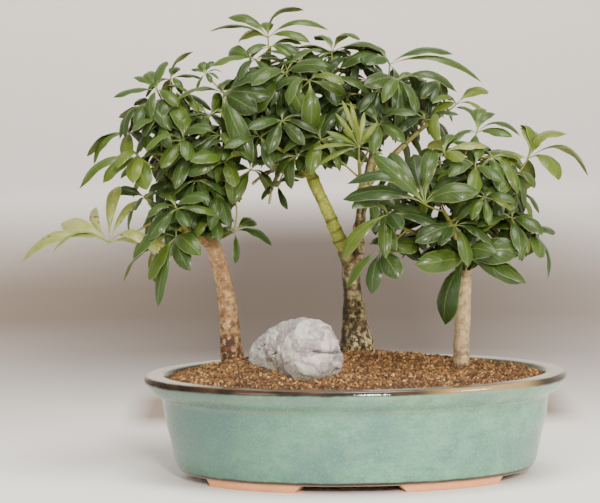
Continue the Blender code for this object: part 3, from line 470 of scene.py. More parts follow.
# Trunks: points up the middle line as (x, y, z, radius), from the soil to where the last branches leave.
trunks = {
    "left": [(-87, 57, 52, 7.0), (-89.5, 59, 70, 7.6), (-90, 60, 80, 8.6), (-91, 60, 90, 7.8),
             (-92.2, 61, 110, 7.2), (-93.8, 62, 125, 6.6), (-97, 63, 141, 6.2), (-102, 64, 159, 6.0),
             (-107, 65, 172, 5.0), (-109, 65, 178, 3.0)],
    "centre": [(3, 70, 50, 9.0), (3.2, 71, 72, 10.5), (3.3, 72, 86, 13.2), (2.4, 72, 94, 10.6),
               (1.4, 72, 110, 8.8), (0.3, 72, 124, 6.9), (-1.2, 72, 144, 6.6), (-5.5, 72, 157, 5.3),
               (-14, 72, 178, 4.9), (-24, 72, 200, 4.6), (-29.5, 72, 213, 4.4), (-34, 72, 228, 3.5),
               (-38, 71, 246, 3.0)],
    "right": [(76.7, 0, 48, 5.4), (76.7, 0, 71, 5.7), (76.8, 0, 82, 6.1), (77.4, 0, 98, 5.7),
              (78.8, 0, 129, 5.6), (79.6, 0, 146, 5.7), (80.2, 0, 154, 4.8), (80.5, 0, 159, 2.8)],
}
trunkSides, branchSides = 8, 5


# A leafy stem: the woody branch that carries it, its green stem, and its leaves.
# A leaf is its hub, its tone, its longest leaflet, where its stalk leaves the stem, the reach of the leaflets
# seen from the front, as (across, up) and, where it matters, the blade's width, and a point of a bent stalk.
def sprig(name, branch, stem, *leaves):
    labels = ("hub", "tone", "size", "at", "seen", "via")
    return {"name": name, "tree": name.split("_")[0], "branch": branch, "stem": stem,
            "leaves": [dict(zip(labels, leaf)) for leaf in leaves]}


sprays = [
    sprig("left_low", [(-103, 65, 163, 3.6), (-116, 57, 173, 3.0), (-126, 48, 177, 2.6)],
          [(-138, 42, 180), (-148, 37, 182)],
          ((-177, 20, 169), "lime", 56, 1.0,
           [(-64, -13, 14), (-37, 15, 17), (-12, 26, 10), (6, 42, 11), (22, 31, 8), (-39, -6, 11)]),
          ((-151, 45, 200), "dark", 30, 0.6, [(-6, -9), (-24, 6), (14, 12)])),
    sprig("left_side", [(-106, 65, 169, 3.6), (-119, 62, 189, 2.8), (-127, 60, 203, 2.3)],
          [(-134, 57, 217), (-139, 54, 228)],
          ((-153, 35, 229), "bright", 42, 0.5, [(-46, -21, 13), (-16, -7), (-28, -17), (5, -23), (-5, -18)]),
          ((-163, 70, 247), "mid", 38, 0.8, [(-33, -17), (0, -24, 11), (-28, -23)]),
          ((-140, 48, 254), "dark", 34, 1.0, [(-18, -6), (-10, -10), (22, -8)])),
    sprig("left_top", [(-107, 66, 172, 3.4), (-114, 70, 198, 2.8), (-121, 74, 226, 2.2)],
          [(-128, 73, 246), (-133, 71, 260)],
          ((-142, 60, 278), "mid", 36, 0.9, [(-32, -5), (-18, 12), (6, 23, 12), (-9, 15)]),
          ((-133, 76, 286), "mid", 30, 1.0, [(17, 21), (4, 10), (24, 0)]),
          ((-147, 88, 266), "dark", 30, 0.5, [(-12, 2), (-26, -8)])),
    sprig("left_tip", [(-107, 62, 172, 3.2), (-109, 56, 192, 2.6), (-110, 51, 211, 2.2)],
          [(-112, 47, 225), (-113, 44, 237)],
          ((-122, 28, 242), "mid", 38, 0.7, [(-7, 27), (0, 21), (-16, -20), (-26, -8), (3, -15), (21, 7)]),
          ((-104, 50, 259), "mid", 34, 1.0, [(18, -10), (-20, 6), (8, 18), (24, 4)])),
    sprig("left_front", [(-102, 63, 160, 3.4), (-111, 50, 168, 2.8), (-117, 38, 173, 2.3)],
          [(-121, 27, 177), (-124, 18, 183)],
          ((-127, 5, 194), "mid", 34, 1.0, [(24, 7), (9, -13), (-20, -6), (-20, -22), (-13, 10), (29, -4)]),
          ((-128, 12, 173), "dark", 42, 0.5,
           [(19, -13, 15), (-20, -31, 15), (-14, -50, 10), (-30, -15), (11, -24)])),
    sprig("left_right", [(-104, 65, 166, 3.0), (-101, 62, 180, 2.6), (-97, 58, 192, 2.1)],
          [(-93, 52, 203), (-90, 46, 212)],
          ((-92, 25, 226), "mid", 34, 1.0, [(-25, 1, 14), (-28, -9), (7, -18, 13), (20, 0), (-19, 9)]),
          ((-87, 42, 174), "dark", 34, 0.7, [(-20, -4, 14), (16, 7), (1, -23), (28, -10)], (-80, 44, 195)),
          ((-74, 50, 219), "mid", 32, 0.9, [(20, 4), (16, -14), (-4, 16)])),
    sprig("left_back", [(-102, 67, 161, 3.4), (-112, 82, 176, 2.8), (-118, 93, 187, 2.3)],
          [(-124, 102, 200), (-128, 107, 212)],
          ((-152, 108, 157), "bright", 36, 0.1, [(-20, -24)]),
          ((-118, 122, 234), "mid", 36, 1.0, []),
          ((-150, 110, 223), "mid", 36, 0.8, []),
          ((-98, 112, 212), "dark", 34, 0.5, [])),
    sprig("centre_left", [(-30, 72, 214, 3.0), (-44, 72, 216, 2.8), (-54, 70, 221, 2.6),
                          (-57, 67, 236, 2.3), (-62, 60, 249, 2.0), (-70, 55, 257, 1.9)],
          [(-79, 51, 264), (-87, 48, 270)],
          ((-93, 42, 276), "mid", 46, 1.0, [(-32, -5, 13), (21, -51, 17), (25, -15), (6, 5)]),
          ((-106, 60, 290), "lime", 16, 0.8, [(-4, 9), (5, 10), (-11, 4)])),
    sprig("centre_top", [(-37, 71, 240, 2.8), (-45, 74, 252, 2.4), (-51, 76, 264, 2.1)],
          [(-56, 77, 281), (-60, 77, 298)],
          ((-60, 82, 316), "bright", 44, 1.0,
           [(-44, 5, 11), (-30, 17, 14), (-21, -5), (27, 22, 12), (45, 5, 11), (-1, 12)]),
          ((-58, 60, 309), "mid", 28, 0.9, [(-18, -7), (14, -2)]),
          ((-69, 47, 300), "mid", 36, 0.5, [(-32, -5), (-20, 8), (-12, -16)])),
    sprig("centre_middle", [(-36, 70, 236, 2.6), (-40, 60, 246, 2.2), (-42, 52, 254, 2.0)],
          [(-43, 45, 265), (-42, 38, 275)],
          ((-47, 34, 290), "mid", 44, 0.9,
           [(-40, -9, 14), (-25, -10), (-21, -29, 16), (28, 18, 15), (30, 3, 14)]),
          ((-30, 14, 285), "bright", 38, 1.0, [(0, -37, 17), (14, 10), (25, -4), (-15, -19, 13)]),
          ((-50, 12, 256), "dark", 34, 0.2, [(-24, -6), (-10, -24, 12), (16, -18)])),
    sprig("centre_peak", [(-34, 72, 228, 2.6), (-26, 74, 244, 2.2), (-20, 75, 257, 2.0)],
          [(-16, 73, 274), (-13, 70, 288)],
          ((-13, 65, 304), "bright", 40, 1.0, [(20, 7, 13), (37, 0, 12), (-26, 4), (-12, 12)]),
          ((-20, 52, 284), "mid", 40, 0.6, [(35, -12, 14), (-16, -14), (10, -20)]),
          ((4, 92, 299), "mid", 34, 0.8, [])),
    sprig("centre_right", [(-1, 72, 143, 4.8), (4.8, 72, 154, 4.4), (6.5, 71, 178, 3.8),
                           (12, 70, 210, 3.2), (19, 66, 240, 2.5)],
          [(24, 60, 259), (28, 54, 271)],
          ((34, 32, 284), "mid", 44, 1.0,
           [(43, -9, 13), (-12, -18, 11), (13, -26, 12), (-2, -46, 11), (-25, -5)]),
          ((30, 72, 295), "mid", 48, 0.9, [(47, 7, 12), (68, -14, 9), (-18, -2), (-24, 5)])),
    sprig("centre_far_right", [(11, 70, 204, 2.8), (27, 72, 223, 2.4), (42, 73, 237, 2.1)],
          [(56, 72, 249), (67, 71, 256)],
          ((79, 68, 265), "lime", 34, 1.0, [(25, 10), (20, -12), (-18, 8)]),
          ((58, 96, 269), "mid", 36, 0.6, []),
          ((54, 42, 255), "dark", 36, 0.4, [(-22, -12), (14, -22), (24, 2)])),
    sprig("centre_young", [(7, 71, 184, 2.6), (7, 57, 196, 2.2), (7, 45, 205, 2.0)],
          [(6, 30, 217), (5, 14, 226)],
          ((5, -2, 237), "lime", 28, 1.0,
           [(-11, 14, 8), (-3, 21, 8), (8, 13, 8), (12, 9, 7), (-33, -1, 9), (-30, -13, 9)]),
          ((20, 18, 252), "mid", 36, 0.7, [(26, 6), (-14, 16), (18, -14)]),
          ((-22, 20, 242), "bright", 36, 0.3, [(-28, -10), (-20, 12), (4, 20), (-8, -26)])),
    sprig("centre_low", [(-31, 71, 215, 2.6), (-38, 60, 222, 2.2), (-44, 50, 227, 1.9)],
          [(-50, 41, 233), (-56, 33, 237)],
          ((-66, 22, 244), "dark", 36, 1.0, [(-26, -8), (-16, 14), (8, -24), (20, 8)]),
          ((-54, 58, 208), "mid", 24, 0.1, [(7, -19), (-12, -12), (16, 2)]),
          ((-40, 20, 230), "mid", 34, 0.6, [(22, -8), (-4, -24), (18, 12)])),
    sprig("centre_back_left", [(-31, 73, 216, 2.8), (-35, 88, 228, 2.4), (-38, 98, 239, 2.1)],
          [(-43, 109, 255), (-46, 115, 269)],
          ((-64, 120, 282), "mid", 38, 1.0, []),
          ((-36, 134, 288), "mid", 38, 0.9, []),
          ((-20, 112, 270), "dark", 34, 0.5, [])),
    sprig("centre_back_right", [(10, 71, 198, 2.8), (16, 86, 216, 2.4), (20, 98, 229, 2.1)],
          [(26, 109, 246), (30, 115, 262)],
          ((16, 128, 280), "mid", 38, 1.0, []),
          ((50, 120, 276), "mid", 38, 0.8, []),
          ((36, 134, 246), "dark", 34, 0.4, [])),
    sprig("right_low", [(79.4, 0, 142, 3.2), (80, -10, 148, 2.6), (80, -16, 152, 2.2)],
          [(80, -21, 155), (79, -26, 158)],
          ((80, -28, 158), "mid", 48, 0.6,
           [(-38, -4, 13), (18, 4, 12), (36, 6), (41, -18, 11), (-16, -47, 16)]),
          ((71, -38, 182), "dark", 38, 1.0, [(-29, -11, 15), (-11, -14), (26, -14, 14)])),
    sprig("right_front", [(80, -1, 151, 3.0), (75, -13, 166, 2.6), (71, -21, 177, 2.2)],
          [(67, -31, 186), (63, -40, 193)],
          ((49, -60, 199), "dark", 56, 1.0,
           [(-54, 15, 11), (-57, 4, 12), (-36, 35, 11), (-23, 37, 10), (-6, 36, 12),
            (8, 39, 11), (35, 18, 15)]),
          ((92, -42, 202), "mid", 28, 0.4, [(13, 7), (20, -4), (-10, -16)])),
    sprig("right_left", [(80, 0, 153, 3.0), (67, -3, 164, 2.6), (55, -8, 171, 2.2)],
          [(44, -16, 176), (36, -22, 179)],
          ((24, -40, 191), "dark", 46, 1.0, [(-33, -31, 13), (-3, -31, 11), (8, -11), (-8, 7), (-26, 4)]),
          ((19, -30, 165), "dark", 38, 0.9, [(-25, -27, 9), (-7, -31, 10), (12, -20)]),
          ((34, 8, 170), "dark", 32, 0.2, [(-18, 6), (14, -16), (-10, -18)])),
    sprig("right_side", [(80, 0, 150, 2.8), (94, 0, 160, 2.4), (104, 0, 165, 2.1)],
          [(112, -1, 169), (118, -2, 172)],
          ((127, -3, 174), "dark", 38, 1.0, [(-19, 21, 15), (-25, 11), (14, -2), (12, -35, 9), (4, -18)]),
          ((112, -26, 186), "dark", 36, 0.5, [(-26, -6, 13), (20, -12), (4, -24, 12)])),
    sprig("right_top", [(80.3, 0, 153, 3.2), (80, 2, 181, 2.6), (80, 2, 202, 2.2)],
          [(80, 0, 217), (79, -2, 229)],
          ((90, 5, 246), "mid", 34, 1.0, [(-13, 19), (5, 18), (14, 14), (30, -3), (24, -4), (-19, -8)]),
          ((65, -22, 233), "bright", 38, 0.8, [(-6, 29, 11), (7, 12), (31, 4), (11, -7), (-11, 7)]),
          ((86, -32, 224), "mid", 34, 0.4, [(-20, -8), (18, -12), (4, 18), (-4, -22)])),
    sprig("right_far", [(80.2, 1, 152, 2.8), (94, 4, 178, 2.4), (103, 6, 193, 2.1)],
          [(111, 7, 204), (118, 8, 213)],
          ((127, 15, 226), "bright", 42, 1.0, [(2, 21), (-2, 24), (29, 18), (44, -13, 12), (20, -16)]),
          ((114, -15, 216), "mid", 32, 0.5, [(-18, 17), (13, -10), (-12, -14)])),
    sprig("right_back", [(80.3, 1, 153, 3.0), (82, 14, 172, 2.6), (83, 26, 189, 2.2)],
          [(83, 36, 202), (83, 43, 213)],
          ((66, 56, 231), "mid", 36, 1.0, []),
          ((102, 54, 227), "mid", 36, 0.8, []),
          ((84, 72, 210), "dark", 34, 0.6, []),
          ((112, 40, 197), "dark", 34, 0.2, [])),
]

# Bare twigs left where old leaves fell, on the centre tree.
bareTwigs = [
    [(-52, 70, 219, 1.5), (-58, 68, 206, 1.1), (-61, 66, 193, 0.9)],
    [(-53, 70, 220, 1.5), (-64, 67, 215, 1.1), (-73, 65, 208, 0.9)],
]

crownMiddle = {"left": pt(-124, 62, 211), "centre": pt(-5, 72, 261), "right": pt(82, 4, 199)}

# "fine" values are for the leaflets that only the finer mesh has.
leafRule = {"clearThickness": 1.5, "aspect": 0.40, "room": 0.55, "viewSlope": 0.07, "leaflets": 5,
            "fullLeaflets": 8, "rootDepth": 0.9, "droop": 0.1, "draws": 14, "shortBlade": 44.0,
            "tinyBlade": 33.0, "fineRoom": -0.35, "fineAspect": 0.33, "fineDroop": 0.15, "fineOut": 0.4}
clearStations = {"long": ((0.12, 0.11), (0.36, 0.76), (0.66, 1.0), (0.90, 0.62)),
                 "short": ((0.16, 0.15), (0.52, 1.0), (0.86, 0.74)),
                 "tiny": ((0.36, 0.86), (0.80, 0.82))}
seenShifts = (0, -5, 5, -10, 10, -16, 16, -22, 22, -28, 28)
spareTurns = (0, 0.2, -0.2, 0.4, -0.4, 0.6, -0.6)
sparePitches = (0, -0.25, 0.25, -0.5, 0.5)
gap = 0.3


# A closed skin over rings of equally many points.
def loft(rings):
    sides = len(rings[0])
    last = (len(rings) - 1) * sides
    faces = [(row + k, row + (k + 1) % sides, row + sides + (k + 1) % sides, row + sides + k)
             for row in range(0, last, sides) for k in range(sides)]
    faces += [tuple(reversed(range(sides))), tuple(range(last, last + sides))]
    return [v for ring in rings for v in ring], faces


def circle(sides):
    return [2 * math.pi * k / sides for k in range(sides)]


# A closed tube along points, for tests of clearance.
def tube(points, radii, sides, firstWay=None):
    rings = []
    side = None
    last = len(points) - 1
    for i, point in enumerate(points):
        way = points[min(i + 1, last)] - points[max(i - 1, 0)]
        if i == 0 and firstWay:
            way = firstWay
        way = way.normalized()
        if side is None:
            side = way.orthogonal()
        side = (side - way * side.dot(way)).normalized()
        up = way.cross(side)
        rings.append([point + radii[i] * (math.cos(turn) * side + math.sin(turn) * up)
                      for turn in circle(sides)])
    return loft(rings)


# A leaflet's own directions: along it, to its side, and up from its upper face.
def bladeWays(hub, tip, axis, twist):
    along = (tip - hub).normalized()
    across = along.cross(axis)
    if across.length < 0.25:
        across = along.cross(pt(0.94, -0.3, 0.1))
    across = Quaternion(along, twist) @ across.normalized()
    return along, across, across.cross(along)


# A plain blade that takes up a leaflet's room.
def clearBlade(hub, tip, axis, width, arch, twist, grow):
    along, across, lift = bladeWays(hub, tip, axis, twist)
    length = (tip - hub).length
    middle = hub + along * (0.5 * length) + lift * (arch * length)
    root = hub + along * leafRule["rootDepth"]
    kind = "long"
    if length < leafRule["shortBlade"]:
        kind = "tiny" if length < leafRule["tinyBlade"] else "short"
    verts, faces = [root], []
    thick = 0.5 * leafRule["clearThickness"] + grow
    for s, share in clearStations[kind]:
        centre = root * (1 - s) ** 2 + middle * (2 * s * (1 - s)) + tip * s ** 2
        tangent = (middle - root) * (1 - s) + (tip - middle) * s
        normal = across.cross(tangent).normalized()
        reachOut = 0.5 * width * share + grow
        low = centre - normal * thick
        verts += [low + across * reachOut, low - across * reachOut, centre + normal * thick]
    verts.append(tip + along * grow)
    last = len(verts) - 1
    for k in range(3):
        nextK = (k + 1) % 3
        faces.append((0, 1 + nextK, 1 + k))
        for a in range(1 + k, last - 3, 3):
            b = a - k + nextK
            faces += [(a, b, b + 3), (a, b + 3, a + 3)] if k < 2 else [(a, b, a + 3), (b, b + 3, a + 3)]
        faces.append((last - 3 + k, last - 3 + nextK, last))
    return verts, faces


def xyz(row):
    return pt(row[0], row[1], row[2])


def stemLine(spray):
    branch = [xyz(row) for row in spray["branch"]]
    way = (branch[-1] - branch[-2]).normalized()
    start = branch[-1] + way * gap
    line = [start, start + way * 3] + [pt(*point) for point in spray["stem"]]
    first = spray["branch"][-1][3] - 0.1
    last = 1.3
    steps = len(line) - 1
    return line, [first + (last - first) * i / steps for i in range(len(line))], way


def alongLine(line, share):
    lengths = [0.0]
    for a, b in zip(line, line[1:]):
        lengths.append(lengths[-1] + (b - a).length)
    want = share * lengths[-1]
    for i in range(1, len(line)):
        if lengths[i] >= want or i == len(line) - 1:
            span = lengths[i] - lengths[i - 1]
            return line[i - 1].lerp(line[i], min(1.0, (want - lengths[i - 1]) / span))


# The points of a leaf's stalk, from its stem through the hub, with its radii.
def stalkLine(leaf, line, radii=(1.08, 0.9, 0.9, 2.3, 1.2)):
    hub = pt(*leaf["hub"])
    start = alongLine(line, min(leaf["at"], 0.97))
    span = hub - start
    middle = pt(*leaf["via"]) if "via" in leaf else start + span * 0.5 - pt(0, 0, 0.06 * span.length)
    way = (hub - middle).normalized()
    middle = start * 0.25 + middle * 0.5 + hub * 0.25
    return [start, middle, hub - way * 2.2, hub, hub + way * 1.4], list(radii)


# The way a leaf faces: up, and outward from the middle of its crown.
def leafAxis(spray, leaf, outShare=0.75):
    out = pt(*leaf["hub"]) - crownMiddle[spray["tree"]]
    out.z *= 0.4
    if out.length > 1:
        out = out.normalized()
    return (pt(0, 0, 1) + out * outShare).normalized()


# Leaflets seen in the front view: the depth of each tip follows from the leaflet's length.
def seenReach(leaf, index):
    across, up = leaf["seen"][index][:2]
    size = leaf["size"] * (0.96 - 0.07 * (index % 3))
    flat = math.hypot(across, up)
    depth = math.sqrt(max(0.0, size * size - flat * flat))
    depth = min(depth, 0.8 * size)
    back = up > 0.25 * size
    if abs(up) <= 0.25 * size and index % 2:
        back = pt(*leaf["hub"]).y > 40
    return across, up, depth if back else -depth


# The other leaflets fill the widest spaces left round the hub.
def spareReaches(leaf, axis, taken, count, rand):
    first = axis.orthogonal().normalized()
    second = axis.cross(first)
    turns = sorted(math.atan2(v.dot(second), v.dot(first)) for v in taken)
    if not turns:
        turns = [rand.uniform(-math.pi, math.pi)]
    out = []
    for _ in range(count):
        turns.sort()
        spaces = [(turns[(i + 1) % len(turns)] - turns[i]) % (2 * math.pi) or 2 * math.pi
                  for i in range(len(turns))]
        widest = spaces.index(max(spaces))
        turn = turns[widest] + 0.5 * spaces[widest] + rand.uniform(-0.15, 0.15)
        turns.append((turn + math.pi) % (2 * math.pi) - math.pi)
        pitch = -rand.uniform(0.15, 0.6)
        length = leaf["size"] * rand.uniform(0.72, 0.98)
        out.append((turn, pitch, length))
    return first, second, out


# What stands in each leafy stem's way, as search trees with their boxes.
class Crowd:
    def __init__(self):
        self.items = []

    def box(self, verts):
        return (pt(*(min(v[i] for v in verts) for i in range(3))),
                pt(*(max(v[i] for v in verts) for i in range(3))))

    def add(self, owner, verts, faces):
        low, high = self.box(verts)
        self.items.append((owner, BVHTree.FromPolygons(verts, faces), low, high))

    def free(self, owner, verts, faces):
        low, high = self.box(verts)
        tree = None
        for other, shape, otherLow, otherHigh in self.items:
            if other == owner:
                continue
            if any(low[i] > otherHigh[i] or high[i] < otherLow[i] for i in range(3)):
                continue
            tree = tree or BVHTree.FromPolygons(verts, faces)
            if tree.overlap(shape):
                return False
        return True


# Finds room for leaflets. "blades" keeps each one's hub, tip, axis, width, arch, twist and leaf.
class LeafPlacer:
    def __init__(self, crowd):
        self.crowd = crowd
        self.blades = {spray["name"]: [] for spray in sprays}

    def trial(self, owner, name, leaf, tip, axis, width, arch, twist, room):
        hub = pt(*leaf["hub"])
        verts, faces = clearBlade(hub, tip, axis, width, arch, twist, room)
        if not self.crowd.free(owner, verts, faces):
            return False
        verts, faces = clearBlade(hub, tip, axis, width, arch, twist, min(0.0, room))
        self.crowd.add(owner, verts, faces)
        self.blades[name].append((hub, tip, axis, width, arch, twist, leaf))
        return True

    def seen(self, owner, name, leaf, axis, index, arch, twist):
        across, up, depth = seenReach(leaf, index)
        entry = leaf["seen"][index]
        for shrink in (1.0, 0.85, 0.7):
            for shift in seenShifts:
                newDepth = depth + shift
                reach = pt(across, newDepth, up - leafRule["viewSlope"] * newDepth) * shrink
                width = entry[2] if len(entry) > 2 else leafRule["aspect"] * max(22.0, reach.length)
                if self.trial(owner, name, leaf, pt(*leaf["hub"]) + reach, axis, width * shrink, arch, twist,
                              leafRule["room"]):
                    return reach
        return None

    def spare(self, owner, name, leaf, axis, ways, wanted, arch, twist, room, aspect, tree=None):
        first, second = ways
        turn, pitch, length = wanted
        for shrink in (1.0, 0.8):
            for addPitch in sparePitches:
                for addTurn in spareTurns:
                    a, p = turn + addTurn, pitch + addPitch
                    way = (first * math.cos(a) + second * math.sin(a)) * math.cos(p) + axis * math.sin(p)
                    tip = pt(*leaf["hub"]) + way * length * shrink - pt(0, 0, leafRule["droop"] * length)
                    if tree and not insideCrown(tree, tip):
                        continue
                    if self.trial(owner, name, leaf, tip, axis, aspect * length * shrink, arch, twist, room):
                        return tip - pt(*leaf["hub"])
        return None


# More leaves than the solids carry fill the crowns. Each oval of a crown: its middle, half sizes and a count.
crownFill = {
    "seed": 21, "front": {"left": 28, "centre": 34, "right": -20}, "stalk": (13.0, 50.0),
    "size": (29.0, 38.0), "hubSpace": 11.0, "fewestLeaflets": 4, "tries": 40,
    "left": [((-118, 52, 231), (38, 44, 36), 16), ((-121, 45, 192), (28, 40, 18), 8),
             ((-135, 66, 268), (20, 34, 13), 5), ((-92, 50, 222), (18, 34, 24), 6)],
    "centre": [((-38, 66, 298), (42, 36, 12), 9), ((-32, 60, 264), (52, 46, 26), 16),
               ((-80, 56, 262), (24, 30, 18), 5), ((34, 62, 272), (42, 44, 18), 11),
               ((-40, 60, 236), (40, 36, 12), 7)],
    "right": [((36, -22, 204), (34, 34, 24), 9), ((84, -8, 210), (34, 40, 32), 14),
              ((76, -16, 166), (28, 30, 12), 6), ((120, -6, 182), (16, 30, 20), 5)],
}
toneValue = {"dark": 0.15, "mid": 0.33, "bright": 0.52, "lime": 0.78}
# The edge of each crown as the camera sees it, in the upright plane through the pot's middle: across, up.
crownEdge = {
    "left": [(-105, 166), (-117, 158), (-139, 159), (-154, 171), (-161, 189), (-177, 196), (-193, 208),
             (-196, 220), (-190, 236), (-180, 245), (-162, 249), (-154, 263), (-147, 272), (-145, 289),
             (-135, 299), (-125, 293), (-118, 282), (-107, 268), (-90, 259), (-82, 243), (-82, 223),
             (-92, 215), (-86, 200), (-85, 184), (-92, 172)],
    "centre": [(-85, 225), (-66, 222), (-46, 218), (-24, 221), (-6, 219), (13, 227), (34, 235), (52, 251),
               (62, 263), (71, 275), (62, 287), (42, 296), (22, 304), (5, 311), (-15, 318), (-38, 318),
               (-58, 317), (-74, 314), (-87, 308), (-98, 298), (-102, 282), (-95, 265), (-90, 247)],
    "right": [(-1, 213), (-2, 196), (9, 181), (21, 164), (35, 155), (62, 148), (84, 145), (105, 155),
              (122, 152), (134, 167), (131, 180), (123, 191), (120, 207), (126, 220), (120, 239), (106, 253),
              (91, 262), (77, 259), (59, 256), (51, 243), (33, 235), (15, 233), (4, 224)],
}


def woodLines(tree):
    lines = [trunks[tree]] + [spray["branch"] for spray in sprays if spray["tree"] == tree]
    return lines + (bareTwigs if tree == "centre" else [])


def addWood(crowd, owner=None):
    for tree in trunks:
        for number, line in enumerate(woodLines(tree)):
            sides = branchSides if number else trunkSides
            verts, faces = tube([xyz(row) for row in line], [row[3] for row in line], sides)
            crowd.add(owner or f"trunk_{tree}", verts, faces)


# Where the camera sees a point, in the upright plane through the pot's middle.
def seenAt(point):
    across, _, up = studio["cameraTarget"]
    away = point.y / studio["cameraDistance"]
    rise = math.tan(math.radians(studio["cameraElevation"])) * point.y
    return across + (point.x - across) / (1 + away), up + (point.z - up + rise) / (1 + away)


def insideCrown(tree, point):
    x, z = seenAt(point)
    edge = crownEdge[tree]
    inside = False
    for (ax, az), (bx, bz) in zip(edge, edge[1:] + edge[:1]):
        if (az > z) != (bz > z) and x < ax + (bx - ax) * (z - az) / (bz - az):
            inside = not inside
    return inside


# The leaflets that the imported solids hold, found again by the same rule and the same seeded draws.
def packedLeaves(placer):
    order = []
    for spray in sprays:
        name = spray["name"]
        line, radii, way = stemLine(spray)
        placer.crowd.add(name, *tube(line, radii, 5, way))
        for number, leaf in enumerate(spray["leaves"]):
            placer.crowd.add(name, *tube(*stalkLine(leaf, line), 3))
            leaf["id"] = f"{name} {number}"
            rand = random.Random(leaf["id"])
            twists = [rand.uniform(-0.35, 0.35) for _ in range(leafRule["draws"])]
            arches = [rand.uniform(0.1, 0.24) for _ in range(leafRule["draws"])]
            leaf["axis"] = leafAxis(spray, leaf)
            leaf["taken"] = []
            order.append((name, leaf, twists, arches, rand))
    for name, leaf, twists, arches, rand in order:
        for index in range(len(leaf["seen"])):
            reach = placer.seen(name, name, leaf, leaf["axis"], index, arches[index], twists[index])
            if reach:
                leaf["taken"].append(reach)
    for name, leaf, twists, arches, rand in order:
        count = max(0, leafRule["leaflets"] - len(leaf["seen"]))
        first, second, wanted = spareReaches(leaf, leaf["axis"], leaf["taken"], count, rand)
        for index, want in enumerate(wanted):
            reach = placer.spare(name, name, leaf, leaf["axis"], (first, second), want, arches[6 + index],
                                 twists[6 + index], leafRule["room"], leafRule["aspect"])
            if reach:
                leaf["taken"].append(reach)


# A crowd in which each leaf keeps clear of every other leaf, not only of other stems.
def fineCrowd(placer):
    crowd = Crowd()
    addWood(crowd, "wood")
    for spray in sprays:
        line, radii, way = stemLine(spray)
        crowd.add("stems", *tube(line, radii, 5, way))
        for leaf in spray["leaves"]:
            crowd.add(leaf["id"], *tube(*stalkLine(leaf, line), 3))
        for hub, tip, axis, width, arch, twist, leaf in placer.blades[spray["name"]]:
            crowd.add(leaf["id"], *clearBlade(hub, tip, axis, width, arch, twist, leafRule["fineRoom"]))
    return crowd


# Gives a leaf further leaflets, up to a full count, in the spaces that are left.
def fillLeaf(placer, name, leaf, rand, tree):
    count = leafRule["fullLeaflets"] - len(leaf["taken"]) - rand.randint(0, 1)
    first, second, wanted = spareReaches(leaf, leaf["axis"], leaf["taken"], max(0, count), rand)
    for turn, pitch, length in wanted:
        want = (turn, pitch - leafRule["fineDroop"], length)
        arch, twist = rand.uniform(0.1, 0.22), rand.uniform(-0.35, 0.35)
        reach = placer.spare(leaf["id"], name, leaf, leaf["axis"], (first, second), want, arch, twist,
                             leafRule["fineRoom"], leafRule["fineAspect"], tree)
        if reach:
            leaf["taken"].append(reach)


# The stem that a new hub can hang from: the nearest one of its tree within a stalk's length.
def nearestStem(tree, hub):
    best = None
    low, high = crownFill["stalk"]
    for spray in sprays:
        if spray["tree"] != tree:
            continue
        line = stemLine(spray)[0]
        for step in range(1, 11):
            start = alongLine(line, step / 10)
            distance = (hub - start).length
            hangs = low < distance < high and hub.z > start.z - 0.5 * distance
            if hangs and (best is None or distance < best[0]):
                best = (distance, spray, step / 10)
    return best


def fillCrown(placer, tree, rand):
    grownHere = 0
    hubs = [pt(*leaf["hub"]) for spray in sprays for leaf in spray["leaves"]]
    for centre, half, count in crownFill[tree]:
        made = 0
        for _ in range(crownFill["tries"] * count):
            if made == count:
                break
            way = pt(*(rand.gauss(0, 1) for _ in range(3))).normalized() * rand.random() ** 0.4
            hub = pt(*centre) + pt(*(way[i] * half[i] for i in range(3)))
            near = nearestStem(tree, hub)
            close = any((hub - other).length < crownFill["hubSpace"] for other in hubs)
            if close or not near or hub.y < crownFill["front"][tree] or not insideCrown(tree, hub):
                continue
            spray = near[1]
            leaf = {"hub": tuple(hub), "size": rand.uniform(*crownFill["size"]), "at": near[2], "seen": [],
                    "tone": rand.choice(("dark", "dark", "dark", "mid", "mid")), "taken": [],
                    "id": f"{spray['name']} {len(spray['leaves'])}"}
            points, radii = stalkLine(leaf, stemLine(spray)[0])
            start = points[0].lerp(points[1], 0.35)
            stalk = tube([start] + points[1:], radii, 3)
            if not placer.crowd.free(leaf["id"], *stalk):
                continue
            leaf["axis"] = leafAxis(spray, leaf, leafRule["fineOut"])
            before, bladesBefore = len(placer.crowd.items), len(placer.blades[spray["name"]])
            placer.crowd.add(leaf["id"], *stalk)
            fillLeaf(placer, spray["name"], leaf, rand, tree)
            if len(leaf["taken"]) < crownFill["fewestLeaflets"]:
                del placer.crowd.items[before:]
                del placer.blades[spray["name"]][bladesBefore:]
                continue
            spray["leaves"].append(leaf)
            hubs.append(hub)
            made += 1
        grownHere += made
    print("leaves added to the", tree, "crown:", grownHere)


def placeCrowns():
    crowd = Crowd()
    addWood(crowd)
    placer = LeafPlacer(crowd)
    packedLeaves(placer)
    placer.crowd = fineCrowd(placer)
    rand = random.Random(crownFill["seed"])
    for spray in sprays:
        for leaf in spray["leaves"]:
            fillLeaf(placer, spray["name"], leaf, rand, spray["tree"])
    for tree in trunks:
        fillCrown(placer, tree, rand)
    print("leaflets:", sum(len(blades) for blades in placer.blades.values()))
    return placer


def attributeOn(mesh, name, values, kind="FLOAT"):
    layer = mesh.attributes.new(name, kind, "POINT")
    if kind == "FLOAT":
        layer.data.foreach_set("value", values)
    else:
        layer.data.foreach_set("vector", [number for value in values for number in value])


